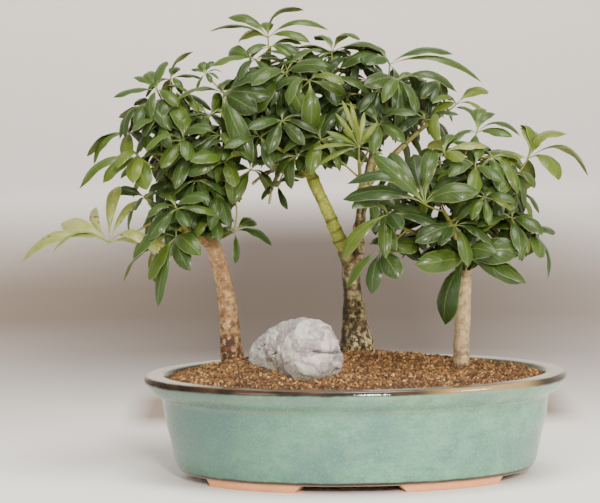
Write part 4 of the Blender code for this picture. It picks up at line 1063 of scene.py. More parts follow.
# How single leaves hold themselves: how far they turn to the viewer, how broad and how arched they are.
# "more" are leaflets that only the finer mesh has: the way to the tip, the width, and how far they turn.
leafPosture = {
    "right_front 0": {"lean": 0.45, "broad": 1.08, "archShare": 2.9, "tone": 0.04, "dropBelow": -24,
                      "more": [((37, -14, 9), 15, 1.2)]},
    "right_low 0": {"lean": 0.7, "broad": 1.25, "tone": 0.12,
                    "more": [((-37, -12, -3), 15, 1.8), ((39, -8, -17), 14, 1.6)]},
    "left_low 0": {"lean": 0.15, "broad": 0.86, "archShare": 2.7, "tone": 0.8},
    "centre_young 0": {"lean": 0.1, "broad": 0.5, "archShare": 1.2, "tone": 0.8,
                       "more": [((-6, -4, 33), 3.6, 0.9), ((-17, -4, 25), 3.6, 1.2),
                                ((4, 4, 25), 3.6, 0.9), ((-24, -6, 12), 4.2, 1.5),
                                ((13, -5, 18), 4.2, 1.2), ((-12, 6, 34), 3.4, 0.6)]},
    "centre_left 0": {"lean": 0.5, "broad": 1.1, "archShare": 2.0,
                      "more": [((21, -30, -50), 15, 2.5)]},
    "centre_left 1": {"tone": 0.36},
    "centre_top 0": {"lean": 0.2, "archShare": 2.4},
    "right_left 1": {"lean": 0.9, "broad": 1.25},
    "centre_middle 1": {"lean": 0.8},
    "centre_right 0": {"lean": 0.05, "archShare": 2.6},
    "centre_right 1": {"lean": 0.5, "broad": 1.1, "archShare": 2.8},
    "right_far 0": {"lean": 0.4, "broad": 1.2, "archShare": 3.0},
    "right_top 0": {"lean": 0.3, "archShare": 2.6},
    "right_side 0": {"lean": 0.5, "broad": 1.2},
}


# Leaflet spots and stalk lines of one leafy stem, as loose vertices and edges that carry their sizes.
def spraySeed(spray, blades):
    points, edges, rows = [], [], []

    def line(route, radii, tone):
        start = len(points)
        for point, radius in zip(route, radii):
            points.append(point)
            rows.append({"thick": radius * mm, "tone": tone})
        edges.extend((start + i, start + i + 1) for i in range(len(route) - 1))

    stem, radii, way = stemLine(spray)
    line(stem, radii, 0.35)
    for leaf in spray["leaves"]:
        tone = toneValue[leaf["tone"]]
        route, radii = stalkLine(leaf, stem, (0.85, 0.68, 0.72, 1.7, 0.5))
        line(route, radii, tone)
    rand = random.Random(spray["name"])
    everyBlade = [blade + (None,) for blade in blades]
    for leaf in spray["leaves"]:
        hub = pt(*leaf["hub"])
        for way, width, turned in leafPosture.get(leaf["id"], {}).get("more", []):
            everyBlade.append((hub, hub + pt(*way), leaf["axis"], width, 0.16, 0.0, leaf, turned))
    for hub, tip, axis, width, arch, twist, leaf, turned in everyBlade:
        own = leafPosture.get(leaf["id"], {})
        if (tip - hub).z < own.get("dropBelow", -1000):
            continue
        lean = turned or own.get("lean", leafLook["lean"])
        width *= 1.0 if turned else own.get("broad", leafLook["broad"][spray["tree"]])
        facing = (axis + pt(0, -lean, leafLook["upright"])).normalized()
        along, across, lift = bladeWays(hub, tip, facing, twist * leafLook["roll"])
        points.append(hub)
        # Leaflets deep inside their crown get a darker tone: painted shade where the crown shades itself.
        depth = ((hub + tip) * 0.5 - crownMiddle[spray["tree"]]).length
        inner = max(0.0, 1.0 - depth / leafLook["outerReach"])
        tone = own.get("tone", toneValue[leaf["tone"]]) + rand.gauss(0, leafLook["toneSpread"])
        tone -= leafLook["innerShade"] * inner + leafLook["darker"][spray["tree"]]
        rows.append({"leaflet": 1.0, "tone": clamped(tone), "width": width * mm, "phase": rand.random(),
                     "arch": arch * own.get("archShare", leafLook["archShare"]),
                     "hub": place(hub), "reach": (tip - hub) * mm, "side": -across, "lift": lift})
    mesh = meshFrom("spray", points, edges, [])
    for name in ("thick", "tone", "leaflet", "width", "arch", "phase"):
        attributeOn(mesh, name, [row.get(name, 0.0) for row in rows])
    for name in ("hub", "reach", "side", "lift"):
        attributeOn(mesh, name, [row.get(name, (0, 0, 0)) for row in rows], "FLOAT_VECTOR")
    return mesh


# Colours along the leaf tone from dark to lime, and how leaflets hold themselves if leafPosture is silent.
leafLook = {
    "upper": [(0.0, shade(36, 54, 17)), (0.22, shade(50, 72, 19)), (0.45, shade(66, 88, 20)),
              (0.68, shade(94, 110, 26)), (1.0, shade(172, 174, 106))],
    "under": [(0.0, shade(86, 100, 50)), (0.5, shade(114, 124, 58)), (1.0, shade(174, 174, 112))],
    "stalk": [(0.0, shade(124, 124, 54)), (0.5, shade(152, 150, 66)), (1.0, shade(182, 182, 84))],
    "stalkDark": shade(96, 92, 54), "dry": shade(104, 84, 54), "cool": shade(44, 72, 30),
    "midrib": shade(142, 158, 92), "margin": shade(150, 162, 104),
    "darker": {"left": -0.02, "centre": 0.15, "right": -0.06}, "toneSpread": 0.11, "innerShade": 0.07,
    "outerReach": 62.0, "broad": {"left": 0.92, "centre": 0.84, "right": 0.9}, "lean": 0.08, "upright": 0.2,
    "roll": 1.5, "archShare": 2.2,
}


def makeLeafMaterials():
    made = []
    for name, roughness, ribShare, stops in (("leafUpper", 0.33, 0.22, leafLook["upper"]),
                                             ("leafUnder", 0.55, 0.5, leafLook["under"])):
        waxy = {"Specular IOR Level": 0.33, "Coat Weight": 0.1, "Coat Roughness": 0.1}
        material, w, shader = newMaterial(name, roughness, waxy)
        veins = w.group(leafVeins, {"Along": w.attribute("along"), "Across": w.attribute("across")})
        blotch = mottled(w, w.objectPoint(), 130.0, 900.0, 1.6)
        tone = w.plus(w.attribute("tone"), w.times(w.minus(blotch[0], 0.5), 0.22))
        colour = w.ramp(tone, stops)
        cool = w.times(w.range(w.attribute("phase"), 0.3, 1.0, 0.0, 0.5), w.fade(tone, 0.3, 0.6))
        colour = w.mix(cool, colour, leafLook["cool"])
        dry = w.times(w.range(tone, 0.76, 0.84), w.range(w.noise(w.objectPoint(), 130.0, 2.0), 0.61, 0.67))
        colour = w.mix(dry, colour, leafLook["dry"])
        colour = w.mix(w.times(veins["Vein"], 0.07), colour, leafLook["midrib"])
        # Pale margins: partly the leaflet's own paler edge, partly a painted highlight along the edge.
        colour = w.mix(w.times(veins["Margin"], 0.4), colour, leafLook["margin"])
        root = w.fade(w.attribute("along"), 0.08, 0.26)
        rib = w.sum("MAXIMUM", w.times(veins["Midrib"], ribShare), w.times(root, 0.8))
        colour = w.mix(rib, colour, leafLook["midrib"])
        w.feed(shader, "Base Color", colour)
        w.feed(shader, "Roughness", w.range(blotch[1], 0.0, 1.0, roughness - 0.05, roughness + 0.12))
        w.feed(shader, "Normal", w.bump(veins["Relief"], 0.4, 0.0003))
        made.append(material)
    material, w, shader = newMaterial("leafStalk", 0.45)
    skin = grained(w, w.objectPoint(), 400.0, 2000.0, 0.0002)
    colour = w.ramp(w.attribute("tone"), leafLook["stalk"])
    colour = w.mix(w.times(skin["Relief"], 0.35), colour, leafLook["stalkDark"])
    painted(w, shader, colour, skin)
    return made + [material]


def makeSprays(placer):
    upper, under, stalk = makeLeafMaterials()
    for spray in sprays:
        name = spray["name"]
        seed = spraySeed(spray, placer.blades[name])
        values = {"Upper Face": upper, "Under Face": under, "Stalk": stalk}
        piece = grown(f"leaves_{name}", seed, leafySpray, values)
        piece.data.set_sharp_from_angle(angle=math.radians(60))
        keep(piece, "leaf", name)
    print("leafy stems made:", len(sprays))


# Bark rings as the sweep raises them, for colour.
def makeRings():
    inputs = [("Along", "Float", 0.0), ("Vector", "Vector", None), ("Spacing", "Float", 0.009)]
    tree, w, given, result = newTree("nodeRings", "ShaderNodeTree", inputs, [("Ring", "Float")])
    tree.links.new(ringWave(w, given["Along"], given["Vector"], given["Spacing"], 4.0), result["Ring"])
    return tree


nodeRings = makeRings()
# Each trunk's bark: its colours, the heights between which it turns green or dark, and its relief.
barks = {
    "left": {"contrast": 3.0, "blotch": 140.0, "base": shade(130, 92, 54), "patch": shade(226, 188, 136),
             "dark": shade(76, 52, 34), "ring": shade(150, 84, 58), "ringShare": 0.6,
             "young": shade(128, 120, 66), "youngFrom": 152.0, "youngTo": 200.0, "shady": 0.35,
             "darkFrom": 124.0, "darkTo": 80.0, "darkShare": 0.9,
             "spacing": 0.0095, "ringHeight": 0.0005, "lump": 0.0012, "knot": 0.0012},
    "centre": {"contrast": 4.5, "blotch": 150.0, "base": shade(112, 90, 54), "patch": shade(216, 200, 142),
               "dark": shade(40, 28, 18), "ring": shade(66, 52, 26), "ringShare": 0.7,
               "young": shade(172, 184, 64), "youngFrom": 148.0, "youngTo": 162.0, "shady": 0.9,
               "limbFrom": -2.5, "twigFrom": -52.0, "darkFrom": 160.0, "darkTo": 80.0, "darkShare": 0.75,
               "spacing": 0.0085, "ringHeight": 0.0006, "lump": 0.0016, "knot": 0.0014},
    "right": {"contrast": 2.2, "blotch": 190.0, "base": shade(168, 143, 100), "patch": shade(204, 180, 142),
              "dark": shade(92, 70, 48), "ring": shade(150, 118, 84), "ringShare": 0.4,
              "young": shade(134, 128, 74), "youngFrom": 150.0, "youngTo": 205.0, "shady": 0.3,
              "darkFrom": 96.0, "darkTo": 74.0, "darkShare": 0.7,
              "spacing": 0.011, "ringHeight": 0.00025, "lump": 0.0009, "knot": 0.0006},
}


def makeBark(tree):
    look = barks[tree]
    material, w, shader = newMaterial(f"bark_{tree}", 0.75)
    point = w.objectPoint()
    across, _, height = w.parts(point)
    blotch = mottled(w, point, look["blotch"], 900.0, look["contrast"])
    ring = w.group(nodeRings, {"Along": w.attribute("along"), "Vector": point, "Spacing": look["spacing"]})[0]
    colour = w.mix(blotch[0], look["base"], look["patch"])
    # Dark patches, more of them low down: partly stains on the bark, partly painted shade near the soil.
    low = w.range(height, look["darkFrom"] * mm, look["darkTo"] * mm, 0.12, look["darkShare"])
    lowStainAndShade = w.range(w.plus(w.noise(point, 260.0, 4.0), w.times(low, 0.13)), 0.53, 0.62)
    colour = w.mix(w.times(lowStainAndShade, w.plus(low, 0.3, clamp=True)), colour, look["dark"])
    young = w.range(height, look["youngFrom"] * mm, look["youngTo"] * mm)
    young = w.times(young, w.range(blotch[0], 0.0, 1.0, 0.6, 1.0))
    if "limbFrom" in look:
        edge, twigEdge = (potMiddle.x + look[key] * mm for key in ("limbFrom", "twigFrom"))
        limb = w.fade(across, edge, edge + 0.002)
        twig = w.range(across, twigEdge, twigEdge + 0.01)
        young = w.times(young, twig, w.sum("MAXIMUM", limb, w.range(height, 0.205, 0.235, 0.0, 0.3)))
    colour = w.mix(young, colour, look["young"])
    colour = w.mix(w.times(ring, look["ringShare"]), colour, look["ring"])
    colour = w.mix(w.range(blotch[1], 0.55, 0.95, 0.0, 0.35), colour, look["dark"])
    facing = w.parts(w.add("ShaderNodeNewGeometry").outputs["Normal"])[0]
    shady = w.times(w.range(facing, -0.1, -0.7), w.range(w.noise(point, 120.0, 3.0), 0.35, 0.55))
    shady = w.times(shady, w.minus(1.0, young))
    colour = w.mix(w.times(shady, look["shady"]), colour, look["dark"])
    w.feed(shader, "Roughness", w.range(blotch[1], 0.0, 1.0, 0.6, 0.85))
    painted(w, shader, colour, grained(w, point, 420.0, 1900.0, 0.0006))
    return material


def makeTrunks():
    for tree in trunks:
        points, edges, thick = [], [], []
        for line in woodLines(tree):
            start = len(points)
            points += [xyz(row) for row in line]
            thick += [row[3] * mm for row in line]
            edges += [(start + i, start + i + 1) for i in range(len(line) - 1)]
        seed = meshFrom("wood", points, edges, [])
        attributeOn(seed, "thick", thick)
        look = barks[tree]
        values = {"Ring Spacing": look["spacing"], "Ring Height": look["ringHeight"],
                  "Lump Height": look["lump"], "Knot Height": look["knot"], "Bark": makeBark(tree)}
        piece = grown(f"wood_{tree}", seed, barkSweep, values)
        piece.data.set_sharp_from_angle(angle=math.radians(60))
        keep(piece, "bark", f"trunk_{tree}")
    print("trunks made:", len(trunks))


pot = {
    "halfLength": 152.3, "inset": 38.0, "sides": 192,
    "holeX": 70.0, "holeRadius": 8.0, "holeSides": 40, "drillHeights": (2, 15),
    # From the underside up the outside, over the lip and down inside: inset from the lip's edge, height.
    "profile": [(28.6, 5.0), (26.8, 5.3), (25.2, 6.1), (23.9, 7.4), (22.9, 9.2), (21.9, 11.6),
                (21.0, 14.4), (19.9, 20.0), (18.7, 26.5), (17.2, 33.0), (15.7, 38.4), (14.5, 43.0),
                (13.7, 49.6), (13.1, 54.6), (12.7, 57.2), (11.8, 58.9), (10.0, 60.2), (6.2, 62.3),
                (3.2, 64.7), (1.4, 67.1), (0.4, 69.0), (0.0, 70.8), (0.25, 72.6), (0.75, 73.9),
                (1.5, 74.7), (2.4, 75.0), (7.0, 75.1), (12.5, 75.0), (13.7, 74.7), (14.4, 74.0),
                (15.0, 72.8), (16.4, 68.0), (20.5, 55.0), (24.5, 36.0), (27.6, 20.0), (29.4, 16.4),
                (32.0, 13.6), (35.0, 12.4), (38.0, 12.0)],
    # Each foot runs between two turns round the oval, and its top is sunk a little into the pot.
    "footArcs": ((0.52, 1.25), (1.89, 2.62), (3.66, 4.39), (4.94, 5.70)), "footInset": 27.5,
    "footWidth": 15.0, "footTop": 6.5, "footTaper": 1.5, "footSteps": 20, "footEndSlope": 0.05,
    "footRound": 0.0007,
}


# How far up the pot's wall each profile point lies, in metres along the wall.
def wallPaths():
    paths = [0.0]
    for a, b in zip(pot["profile"], pot["profile"][1:]):
        paths.append(paths[-1] + math.dist(a, b) * mm)
    return paths


def wallPath(inset, height):
    return wallPaths()[pot["profile"].index((inset, height))]


def ovalPoint(halfLength, turn, z):
    return pt(halfLength * math.cos(turn), (halfLength - pot["inset"]) * math.sin(turn), z)


glazeLook = {
    "body": shade(82, 134, 112), "pale": shade(120, 166, 140), "deep": shade(66, 112, 94),
    "blue": shade(74, 112, 114), "left": shade(50, 88, 77), "line": shade(112, 104, 82),
    "band": shade(40, 28, 22), "red": shade(68, 46, 32), "warm": shade(176, 146, 98),
    "black": shade(24, 20, 16), "top": shade(142, 128, 112), "olive": shade(124, 120, 90),
    "inside": shade(64, 56, 44), "tan": shade(176, 140, 104), "underShade": shade(104, 70, 50),
    "clay": shade(240, 172, 124),
    "middle": 0.035, "gleamAt": 0.046,
}


# The glaze: a mottled body, darker to the left as painted shade, a join line, a dark lip band and a paler
# top, and bare clay at the foot painted dark as shade under the pot.
def makeGlaze():
    material, w, shader = newMaterial("seaGlaze", 0.22, {"Coat Roughness": 0.1})
    point = w.objectPoint()
    wobble = w.times(w.minus(w.noise(point, 90.0, 3.0), 0.5), 0.0024)
    path = w.plus(w.attribute("wallPath"), wobble)
    blotch = mottled(w, point, 95.0, 620.0, 2.2)
    x, y, z = w.parts(point)
    drawn = w.step("ShaderNodeCombineXYZ", {0: x, 1: y, 2: w.times(z, 3.4)})
    streak = w.noise(drawn, 40.0, 4.0, 0.65)
    pool = w.plus(w.noise(point, 16.0, 2.0), w.range(x, -0.12, 0.04, 0.22, 0.0))
    colour = w.mix(blotch[0], glazeLook["body"], glazeLook["pale"])
    colour = w.mix(w.range(streak, 0.52, 0.75, 0.0, 0.7), colour, glazeLook["deep"])
    colour = w.mix(w.range(pool, 0.5, 0.72, 0.0, 0.75), colour, glazeLook["blue"])
    colour = w.mix(w.range(blotch[1], 0.62, 0.9, 0.0, 0.5), colour, glazeLook["pale"])
    colour = w.mix(w.range(blotch[1], 0.16, 0.36, 0.45, 0.0), colour, glazeLook["deep"])
    # Painted shade: the glaze darker towards the pot's left end, away from the light.
    colour = w.mix(w.range(x, -0.1, 0.03, 0.8, 0.0), colour, glazeLook["left"])

    def between(low, high, soft):
        return w.times(w.range(path, low - soft, low + soft), w.fade(path, high - soft, high + soft))

    join = wallPath(12.7, 57.2)
    edge, outer, inner = wallPath(0.25, 72.6) - 0.001, wallPath(1.5, 74.7), wallPath(12.5, 75.0)
    foot, glazed = wallPath(26.8, 5.3), wallPath(25.2, 6.1)
    # A darker line where the lip meets the body: partly a line in the glaze, partly painted shade under the
    # lip.
    colour = w.mix(w.times(between(join - 0.0007, join + 0.0011, 0.0009), 0.42), colour, glazeLook["line"])
    colour = w.mix(w.times(between(join + 0.003, edge - 0.001, 0.002), 0.18), colour, glazeLook["olive"])

    # The band under the lip, warmer at the front on the right and nearly black towards both ends.
    band = w.mix(w.range(w.noise(point, 40.0, 3.0), 0.45, 0.65), glazeLook["band"], glazeLook["red"])
    warm = w.times(w.range(x, 0.075, 0.1), w.fade(x, 0.15, 0.172))
    band = w.mix(w.times(warm, w.range(y, -0.07, -0.09, 0.0, 0.66)), band, glazeLook["warm"])
    end = w.apart(x, glazeLook["middle"])
    low = w.plus(path, w.range(end, 0.1, 0.148, 0.0, 0.0016))
    band = w.mix(w.range(end, 0.125, 0.15, 0.0, 0.8), band, glazeLook["black"])
    share = w.times(w.range(low, edge - 0.0009, edge + 0.0005), w.fade(path, outer - 0.0003, outer + 0.0011))
    colour = w.mix(share, colour, band)

    top = w.mix(w.range(w.noise(point, 70.0, 4.0), 0.4, 0.7), glazeLook["top"], glazeLook["olive"])
    front = w.times(w.range(y, -0.075, -0.1), w.range(path, edge + 0.0015, outer))
    top = w.mix(w.times(front, 0.9), top, glazeLook["red"])
    colour = w.mix(between(outer + 0.0006, inner + 0.001, 0.0006), colour, top)
    # The inner wall dark: partly its glaze, partly painted shade inside the rim.
    colour = w.mix(w.range(path, inner + 0.0008, inner + 0.002, 0.0, 0.85), colour, glazeLook["inside"])
    colour = w.mix(between(glazed - 0.0004, glazed + 0.0026, 0.0006), colour, glazeLook["band"])
    colour = w.mix(between(foot - 0.0004, glazed - 0.0003, 0.0003), colour, glazeLook["tan"])
    # Painted shade: the bare clay underside dark, as it lies in the shade under the pot.
    bare = w.fade(path, foot - 0.0002, foot + 0.0002)
    colour = w.mix(bare, colour, glazeLook["underShade"])

    # The lip shines in one short gleam, and less beside it.
    gloss = w.range(blotch[1], 0.0, 1.0, 0.16, 0.32)
    gloss = w.times(gloss, w.range(between(edge - 0.005, outer, 0.001), 0.0, 1.0, 1.0, 0.35))
    w.feed(shader, "Roughness", w.plus(gloss, w.times(bare, 0.6), clamp=True))
    leftLip = w.times(between(edge - 0.001, outer, 0.001), w.range(x, -0.02, -0.08))
    aside = w.range(w.apart(x, glazeLook["gleamAt"]), 0.008, 0.026, 0.1, 0.85)
    shine = w.minus(1.0, w.times(w.sum("MAXIMUM", front, leftLip), aside))
    w.feed(shader, "Specular IOR Level", w.times(shine, 0.5))
    w.feed(shader, "Coat Weight", w.times(shine, 0.25))
    painted(w, shader, colour, grained(w, point, 90.0, 700.0, 0.0004, 0.12))
    return material


def makeClay():
    material, w, shader = newMaterial("bareClay", 0.85)
    point = w.objectPoint()
    blotch = mottled(w, point, 120.0, 1500.0, 2.2)
    colour = w.mix(blotch[0], shade(230, 158, 112), glazeLook["clay"])
    colour = w.mix(w.range(blotch[1], 0.55, 0.9, 0.0, 0.4), colour, shade(150, 96, 70))
    painted(w, shader, colour, grained(w, point, 500.0, 2600.0, 0.0003))
    return material


# Turns an object's modifiers into plain faces.
def applyModifiers(piece):
    mesh = modifiedMesh(piece)
    piece.modifiers.clear()
    piece.data = mesh


def makePot():
    rings = [[ovalPoint(pot["halfLength"] - inset, turn, z) for turn in circle(pot["sides"])]
             for inset, z in pot["profile"]]
    points, faces = loft(rings)
    body = shown("glazed_pot", meshFrom("glazed_pot", points, [], faces))
    attributeOn(body.data, "wallPath", [path for path in wallPaths() for _ in range(pot["sides"])])
    body.data.materials.append(makeGlaze())
    radius = pot["holeRadius"]
    for middle in (-pot["holeX"], pot["holeX"]):
        rings = [[pt(middle + radius * math.cos(turn), radius * math.sin(turn), z)
                  for turn in circle(pot["holeSides"])] for z in pot["drillHeights"]]
        points, faces = loft(rings)
        drill = shown("drill", meshFrom("drill", points, [], faces))
        hole = body.modifiers.new("hole", "BOOLEAN")
        hole.operation = "DIFFERENCE"
        hole.solver = "MANIFOLD"
        hole.object = drill
        applyModifiers(body)
        bpy.data.objects.remove(drill, do_unlink=True)
    body.data.shade_smooth()
    body.data.set_sharp_from_angle(angle=math.radians(50))
    keep(body, "pot", "pot")

    points, faces = [], []
    section = ((-pot["footTaper"], 0, 1), (pot["footTaper"] - pot["footWidth"], 0, 1),
               (-pot["footWidth"], pot["footTop"], 0), (0, pot["footTop"], 0))
    for start, end in pot["footArcs"]:
        rings = []
        for i in range(pot["footSteps"] + 1):
            turn = start + (end - start) * i / pot["footSteps"]
            ring = []
            for reach, z, slope in section:
                lean = slope * pot["footEndSlope"]
                angle = min(max(turn, start + lean), end - lean)
                ring.append(ovalPoint(pot["halfLength"] - pot["footInset"] + reach, angle, z))
            rings.append(ring)
        footPoints, footFaces = loft(rings)
        faces += [tuple(i + len(points) for i in face) for face in footFaces]
        points += footPoints
    piece = shown("pot_feet", meshFrom("pot_feet", points, [], faces))
    piece.data.materials.append(makeClay())
    rounding = piece.modifiers.new("rounding", "BEVEL")
    rounding.width = pot["footRound"]
    rounding.segments = 2
    applyModifiers(piece)
    piece.data.shade_smooth()
    piece.data.set_sharp_from_angle(angle=math.radians(40))
    keep(piece, "pot")
    print("pot made")


gravel = {"spacing": 0.00195, "grain": 0.0015, "lowest": 0.069, "steepest": 0.35, "sunk": 0.0012}


# The soil's bed lies a grain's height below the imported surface, which the gravel on it then reaches.
def makeGravel():
    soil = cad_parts["soil"]
    material, w, shader = newMaterial("dampSoil", 0.95)
    point = w.objectPoint()
    blotch = mottled(w, point, 260.0, 1400.0, 3.0)
    colour = w.mix(blotch[0], shade(36, 24, 15), shade(74, 48, 28))
    colour = w.mix(w.range(blotch[1], 0.6, 0.9, 0.0, 0.6), colour, shade(112, 78, 46))
    painted(w, shader, colour, grained(w, point, 500.0, 1800.0, 0.0012))
    bed = shown("soil_bed", soil.data.copy())
    for vert in bed.data.vertices:
        if vert.co.z > gravel["lowest"]:
            vert.co.z -= gravel["sunk"]
    bed.data.materials.clear()
    bed.data.materials.append(material)
    keep(bed, "soil", "soil")

    work = bmesh.new()
    work.from_mesh(bed.data)
    hidden = [face for face in work.faces
              if face.normal.z < gravel["steepest"]
              or face.calc_center_median().z < gravel["lowest"] - gravel["sunk"]]
    bmesh.ops.delete(work, geom=hidden, context="FACES")
    patch = bpy.data.meshes.new("patch")
    work.to_mesh(patch)
    work.free()

    material, w, shader = newMaterial("gravelGrains", 0.8)
    point = w.objectPoint()
    stops = [(0.0, shade(46, 29, 15)), (0.2, shade(74, 47, 21)), (0.42, shade(106, 70, 30)),
             (0.7, shade(128, 86, 37)), (0.86, shade(150, 109, 54)), (0.97, shade(196, 156, 98))]
    colour = w.ramp(w.attribute("grainTone"), stops)
    fleck = mottled(w, point, 700.0, 3000.0, 2.0)
    colour = w.mix(w.range(fleck[0], 0.3, 0.9, 0.0, 0.45), colour, shade(100, 64, 34))
    colour = w.mix(w.range(fleck[1], 0.6, 0.95, 0.0, 0.35), colour, shade(226, 200, 158))
    painted(w, shader, colour, grained(w, point, 900.0, 3500.0, 0.0003))
    values = {"Spacing": gravel["spacing"], "Grain Size": gravel["grain"], "Gravel": material}
    keep(grown("gravel_grains", patch, looseGravel, values), "soil")
    print("gravel made")


# The rock: a tall front lobe, a shoulder and a low back lobe, each a middle and half sizes, blended into one.
stone = {
    "middle": pt(-46, -14, 88), "blend": 6.0, "reach": 80.0, "bottom": 69.0, "subdivisions": 7, "seed": 1,
    "lobes": ((pt(-32, -36, 88.5), pt(21.5, 30.5, 28.5)), (pt(-47, -15, 90), pt(17, 23, 24)),
              (pt(-58.5, 1, 87), pt(16.5, 26, 17))),
    # A cleft across the front lobe's face: its ends as across and up, how deep and how wide it is.
    "cleft": (pt(-33, 0, 98.0), pt(-10, 0, 94.0)), "cleftDepth": 3.0, "cleftWidth": 0.9, "cleftFront": -30.0,
    # Facets: how long and how thick they are, how steeply they tilt and how high the steps between them are.
    "facetLength": 15.0, "facetHeight": 7.5, "facetTilt": 0.42, "facetStep": 0.7, "facetMost": 1.6,
    "facetShare": 0.7, "swell": 0.8,
    # Relief as (height, size): two sorts of lumps, cracks, a fine roughness, and pits on the left end.
    "lump": (2.8, 15), "knob": (1.8, 7), "crack": (2.6, 10), "fine": (0.45, 3.5), "pit": (0.09, 3.4),
    "pitsFrom": -42.0,
}


# A stone breaks along slanted layers: how far its face stands out here, how light it is and how near an edge.
def facet(point):
    long, high = stone["facetLength"], stone["facetHeight"]
    warp = noise.noise_vector(point / 11) * 2.4
    slanted = point + warp + pt(0, 0, 0.22 * point.x)
    near, middles = noise.voronoi(pt(slanted.x / long, slanted.y / long, slanted.z / high))
    middle = pt(middles[0].x * long, middles[0].y * long, middles[0].z * high)
    tilt = noise.cell_vector(middle * 0.37 + pt(5, 9, 2)) - pt(0.5, 0.5, 0.5)
    out = stone["facetTilt"] * tilt.dot(slanted - middle) + stone["facetStep"] * tilt.x
    out = max(-stone["facetMost"], min(stone["facetMost"], out))
    return out, noise.cell(middle * 0.53), near[1] - near[0]


# How far a point lies outside the blended lobes, below nothing where it is inside them.
def outsideStone(point):
    total = 0.0
    for middle, half in stone["lobes"]:
        away = point - middle
        distance = pt(away.x / half.x, away.y / half.y, away.z / half.z).length
        total += math.exp(-stone["blend"] * (distance - 1))
    return -math.log(total)


def stonePoint(way):
    low, high = 0.0, stone["reach"]
    for _ in range(20):
        reach = 0.5 * (low + high)
        if outsideStone(stone["middle"] + way * reach) < 0:
            low = reach
        else:
            high = reach
    point = stone["middle"] + way * low
    relief = {key: stone[key][0] for key in ("lump", "knob", "crack", "fine", "pit")}
    spots = {key: point / stone[key][1] for key in relief}
    lump = (relief["lump"] * noise.noise(spots["lump"] + pt(4, 1, 7))
            + relief["knob"] * noise.noise(spots["knob"]))
    crack = relief["crack"] * abs(noise.noise(spots["crack"] + pt(2, 5, 1)))
    face, light, edge = facet(point)
    fine = relief["fine"] * noise.fractal(spots["fine"], 0.8, 2.2, 4)
    pitted = (clamped(0.5 + relief["pit"] * (stone["pitsFrom"] - point.x))
              * noise.noise(spots["pit"] + pt(7, 7, 1)))
    cleft = 0.0
    if point.y < stone["cleftFront"]:
        start, end = stone["cleft"]
        flat = pt(point.x, 0, point.z)
        share = clamped((flat - start).dot(end - start) / (end - start).length_squared)
        away = (flat - start.lerp(end, share)).length / stone["cleftWidth"]
        cleft = math.exp(-away * away) * min(1.0, 2.5 * share + 0.2)
    out = lump - crack + stone["swell"] + stone["facetShare"] * face + fine + pitted
    point += way * (out - stone["cleftDepth"] * cleft)
    point.z = max(point.z, stone["bottom"])
    # Painted shade: darker near facet edges and in the cleft, varied by the fine relief and the pits.
    creviceShade = 0.5 * max(0.0, 0.1 - edge) / 0.1 + 1.3 * cleft - 0.5 * fine - 0.55 * pitted
    return point, clamped(creviceShade), light


def makeStone():
    noise.seed_set(stone["seed"])
    mesh = bpy.data.meshes.new("rock")
    work = bmesh.new()
    bmesh.ops.create_icosphere(work, subdivisions=stone["subdivisions"], radius=1.0)
    creviceShades, lights = [], []
    for vert in work.verts:
        point, creviceShade, light = stonePoint(vert.co.normalized())
        vert.co = place(point)
        creviceShades.append(creviceShade)
        lights.append(light)
    work.to_mesh(mesh)
    work.free()
    attributeOn(mesh, "creviceShade", creviceShades)
    attributeOn(mesh, "facetTone", lights)
    material, w, shader = newMaterial("paleRock", 0.7)
    point = w.objectPoint()
    blotch = mottled(w, point, 90.0, 700.0, 2.6)
    across, _, height = w.parts(point)
    pale = w.mix(w.range(across, -0.024, 0.01), shade(206, 212, 194), shade(215, 205, 200))
    light = w.plus(w.times(w.attribute("facetTone"), 0.6), w.times(blotch[0], 0.55))
    colour = w.mix(w.range(light, 0.1, 0.7), shade(158, 150, 146), pale)
    # Painted shade in the rock's cracks and along its facet edges.
    colour = w.mix(w.range(w.attribute("creviceShade"), 0.2, 1.0, 0.0, 0.85), colour, shade(66, 60, 58))
    colour = w.mix(w.range(blotch[1], 0.55, 0.9, 0.0, 0.5), colour, shade(234, 228, 222))
    moss = w.times(w.range(w.noise(point, 45.0, 2.0), 0.5, 0.62), w.range(height, 0.094, 0.074))
    colour = w.mix(w.times(moss, 0.5), colour, shade(128, 136, 88))
    painted(w, shader, colour, grained(w, point, 260.0, 1400.0, 0.0021, 0.5))
    mesh.materials.append(material)
    piece = shown("rock", mesh)
    mesh.shade_smooth()
    keep(piece, "stone", "stone")
    print("stone made")


def finishScreens():
    material, w, shader = newMaterial("netPlastic", 0.5)
    point = w.objectPoint()
    blotch = mottled(w, point, 200.0, 1200.0, 2.0)
    colour = w.mix(blotch[0], shade(28, 28, 28), shade(48, 46, 42))
    painted(w, shader, colour, grained(w, point, 700.0, 3000.0, 0.0001))
    for name in ("drain_screen_left", "drain_screen_right"):
        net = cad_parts[name]
        net.data.materials.clear()
        net.data.materials.append(material)


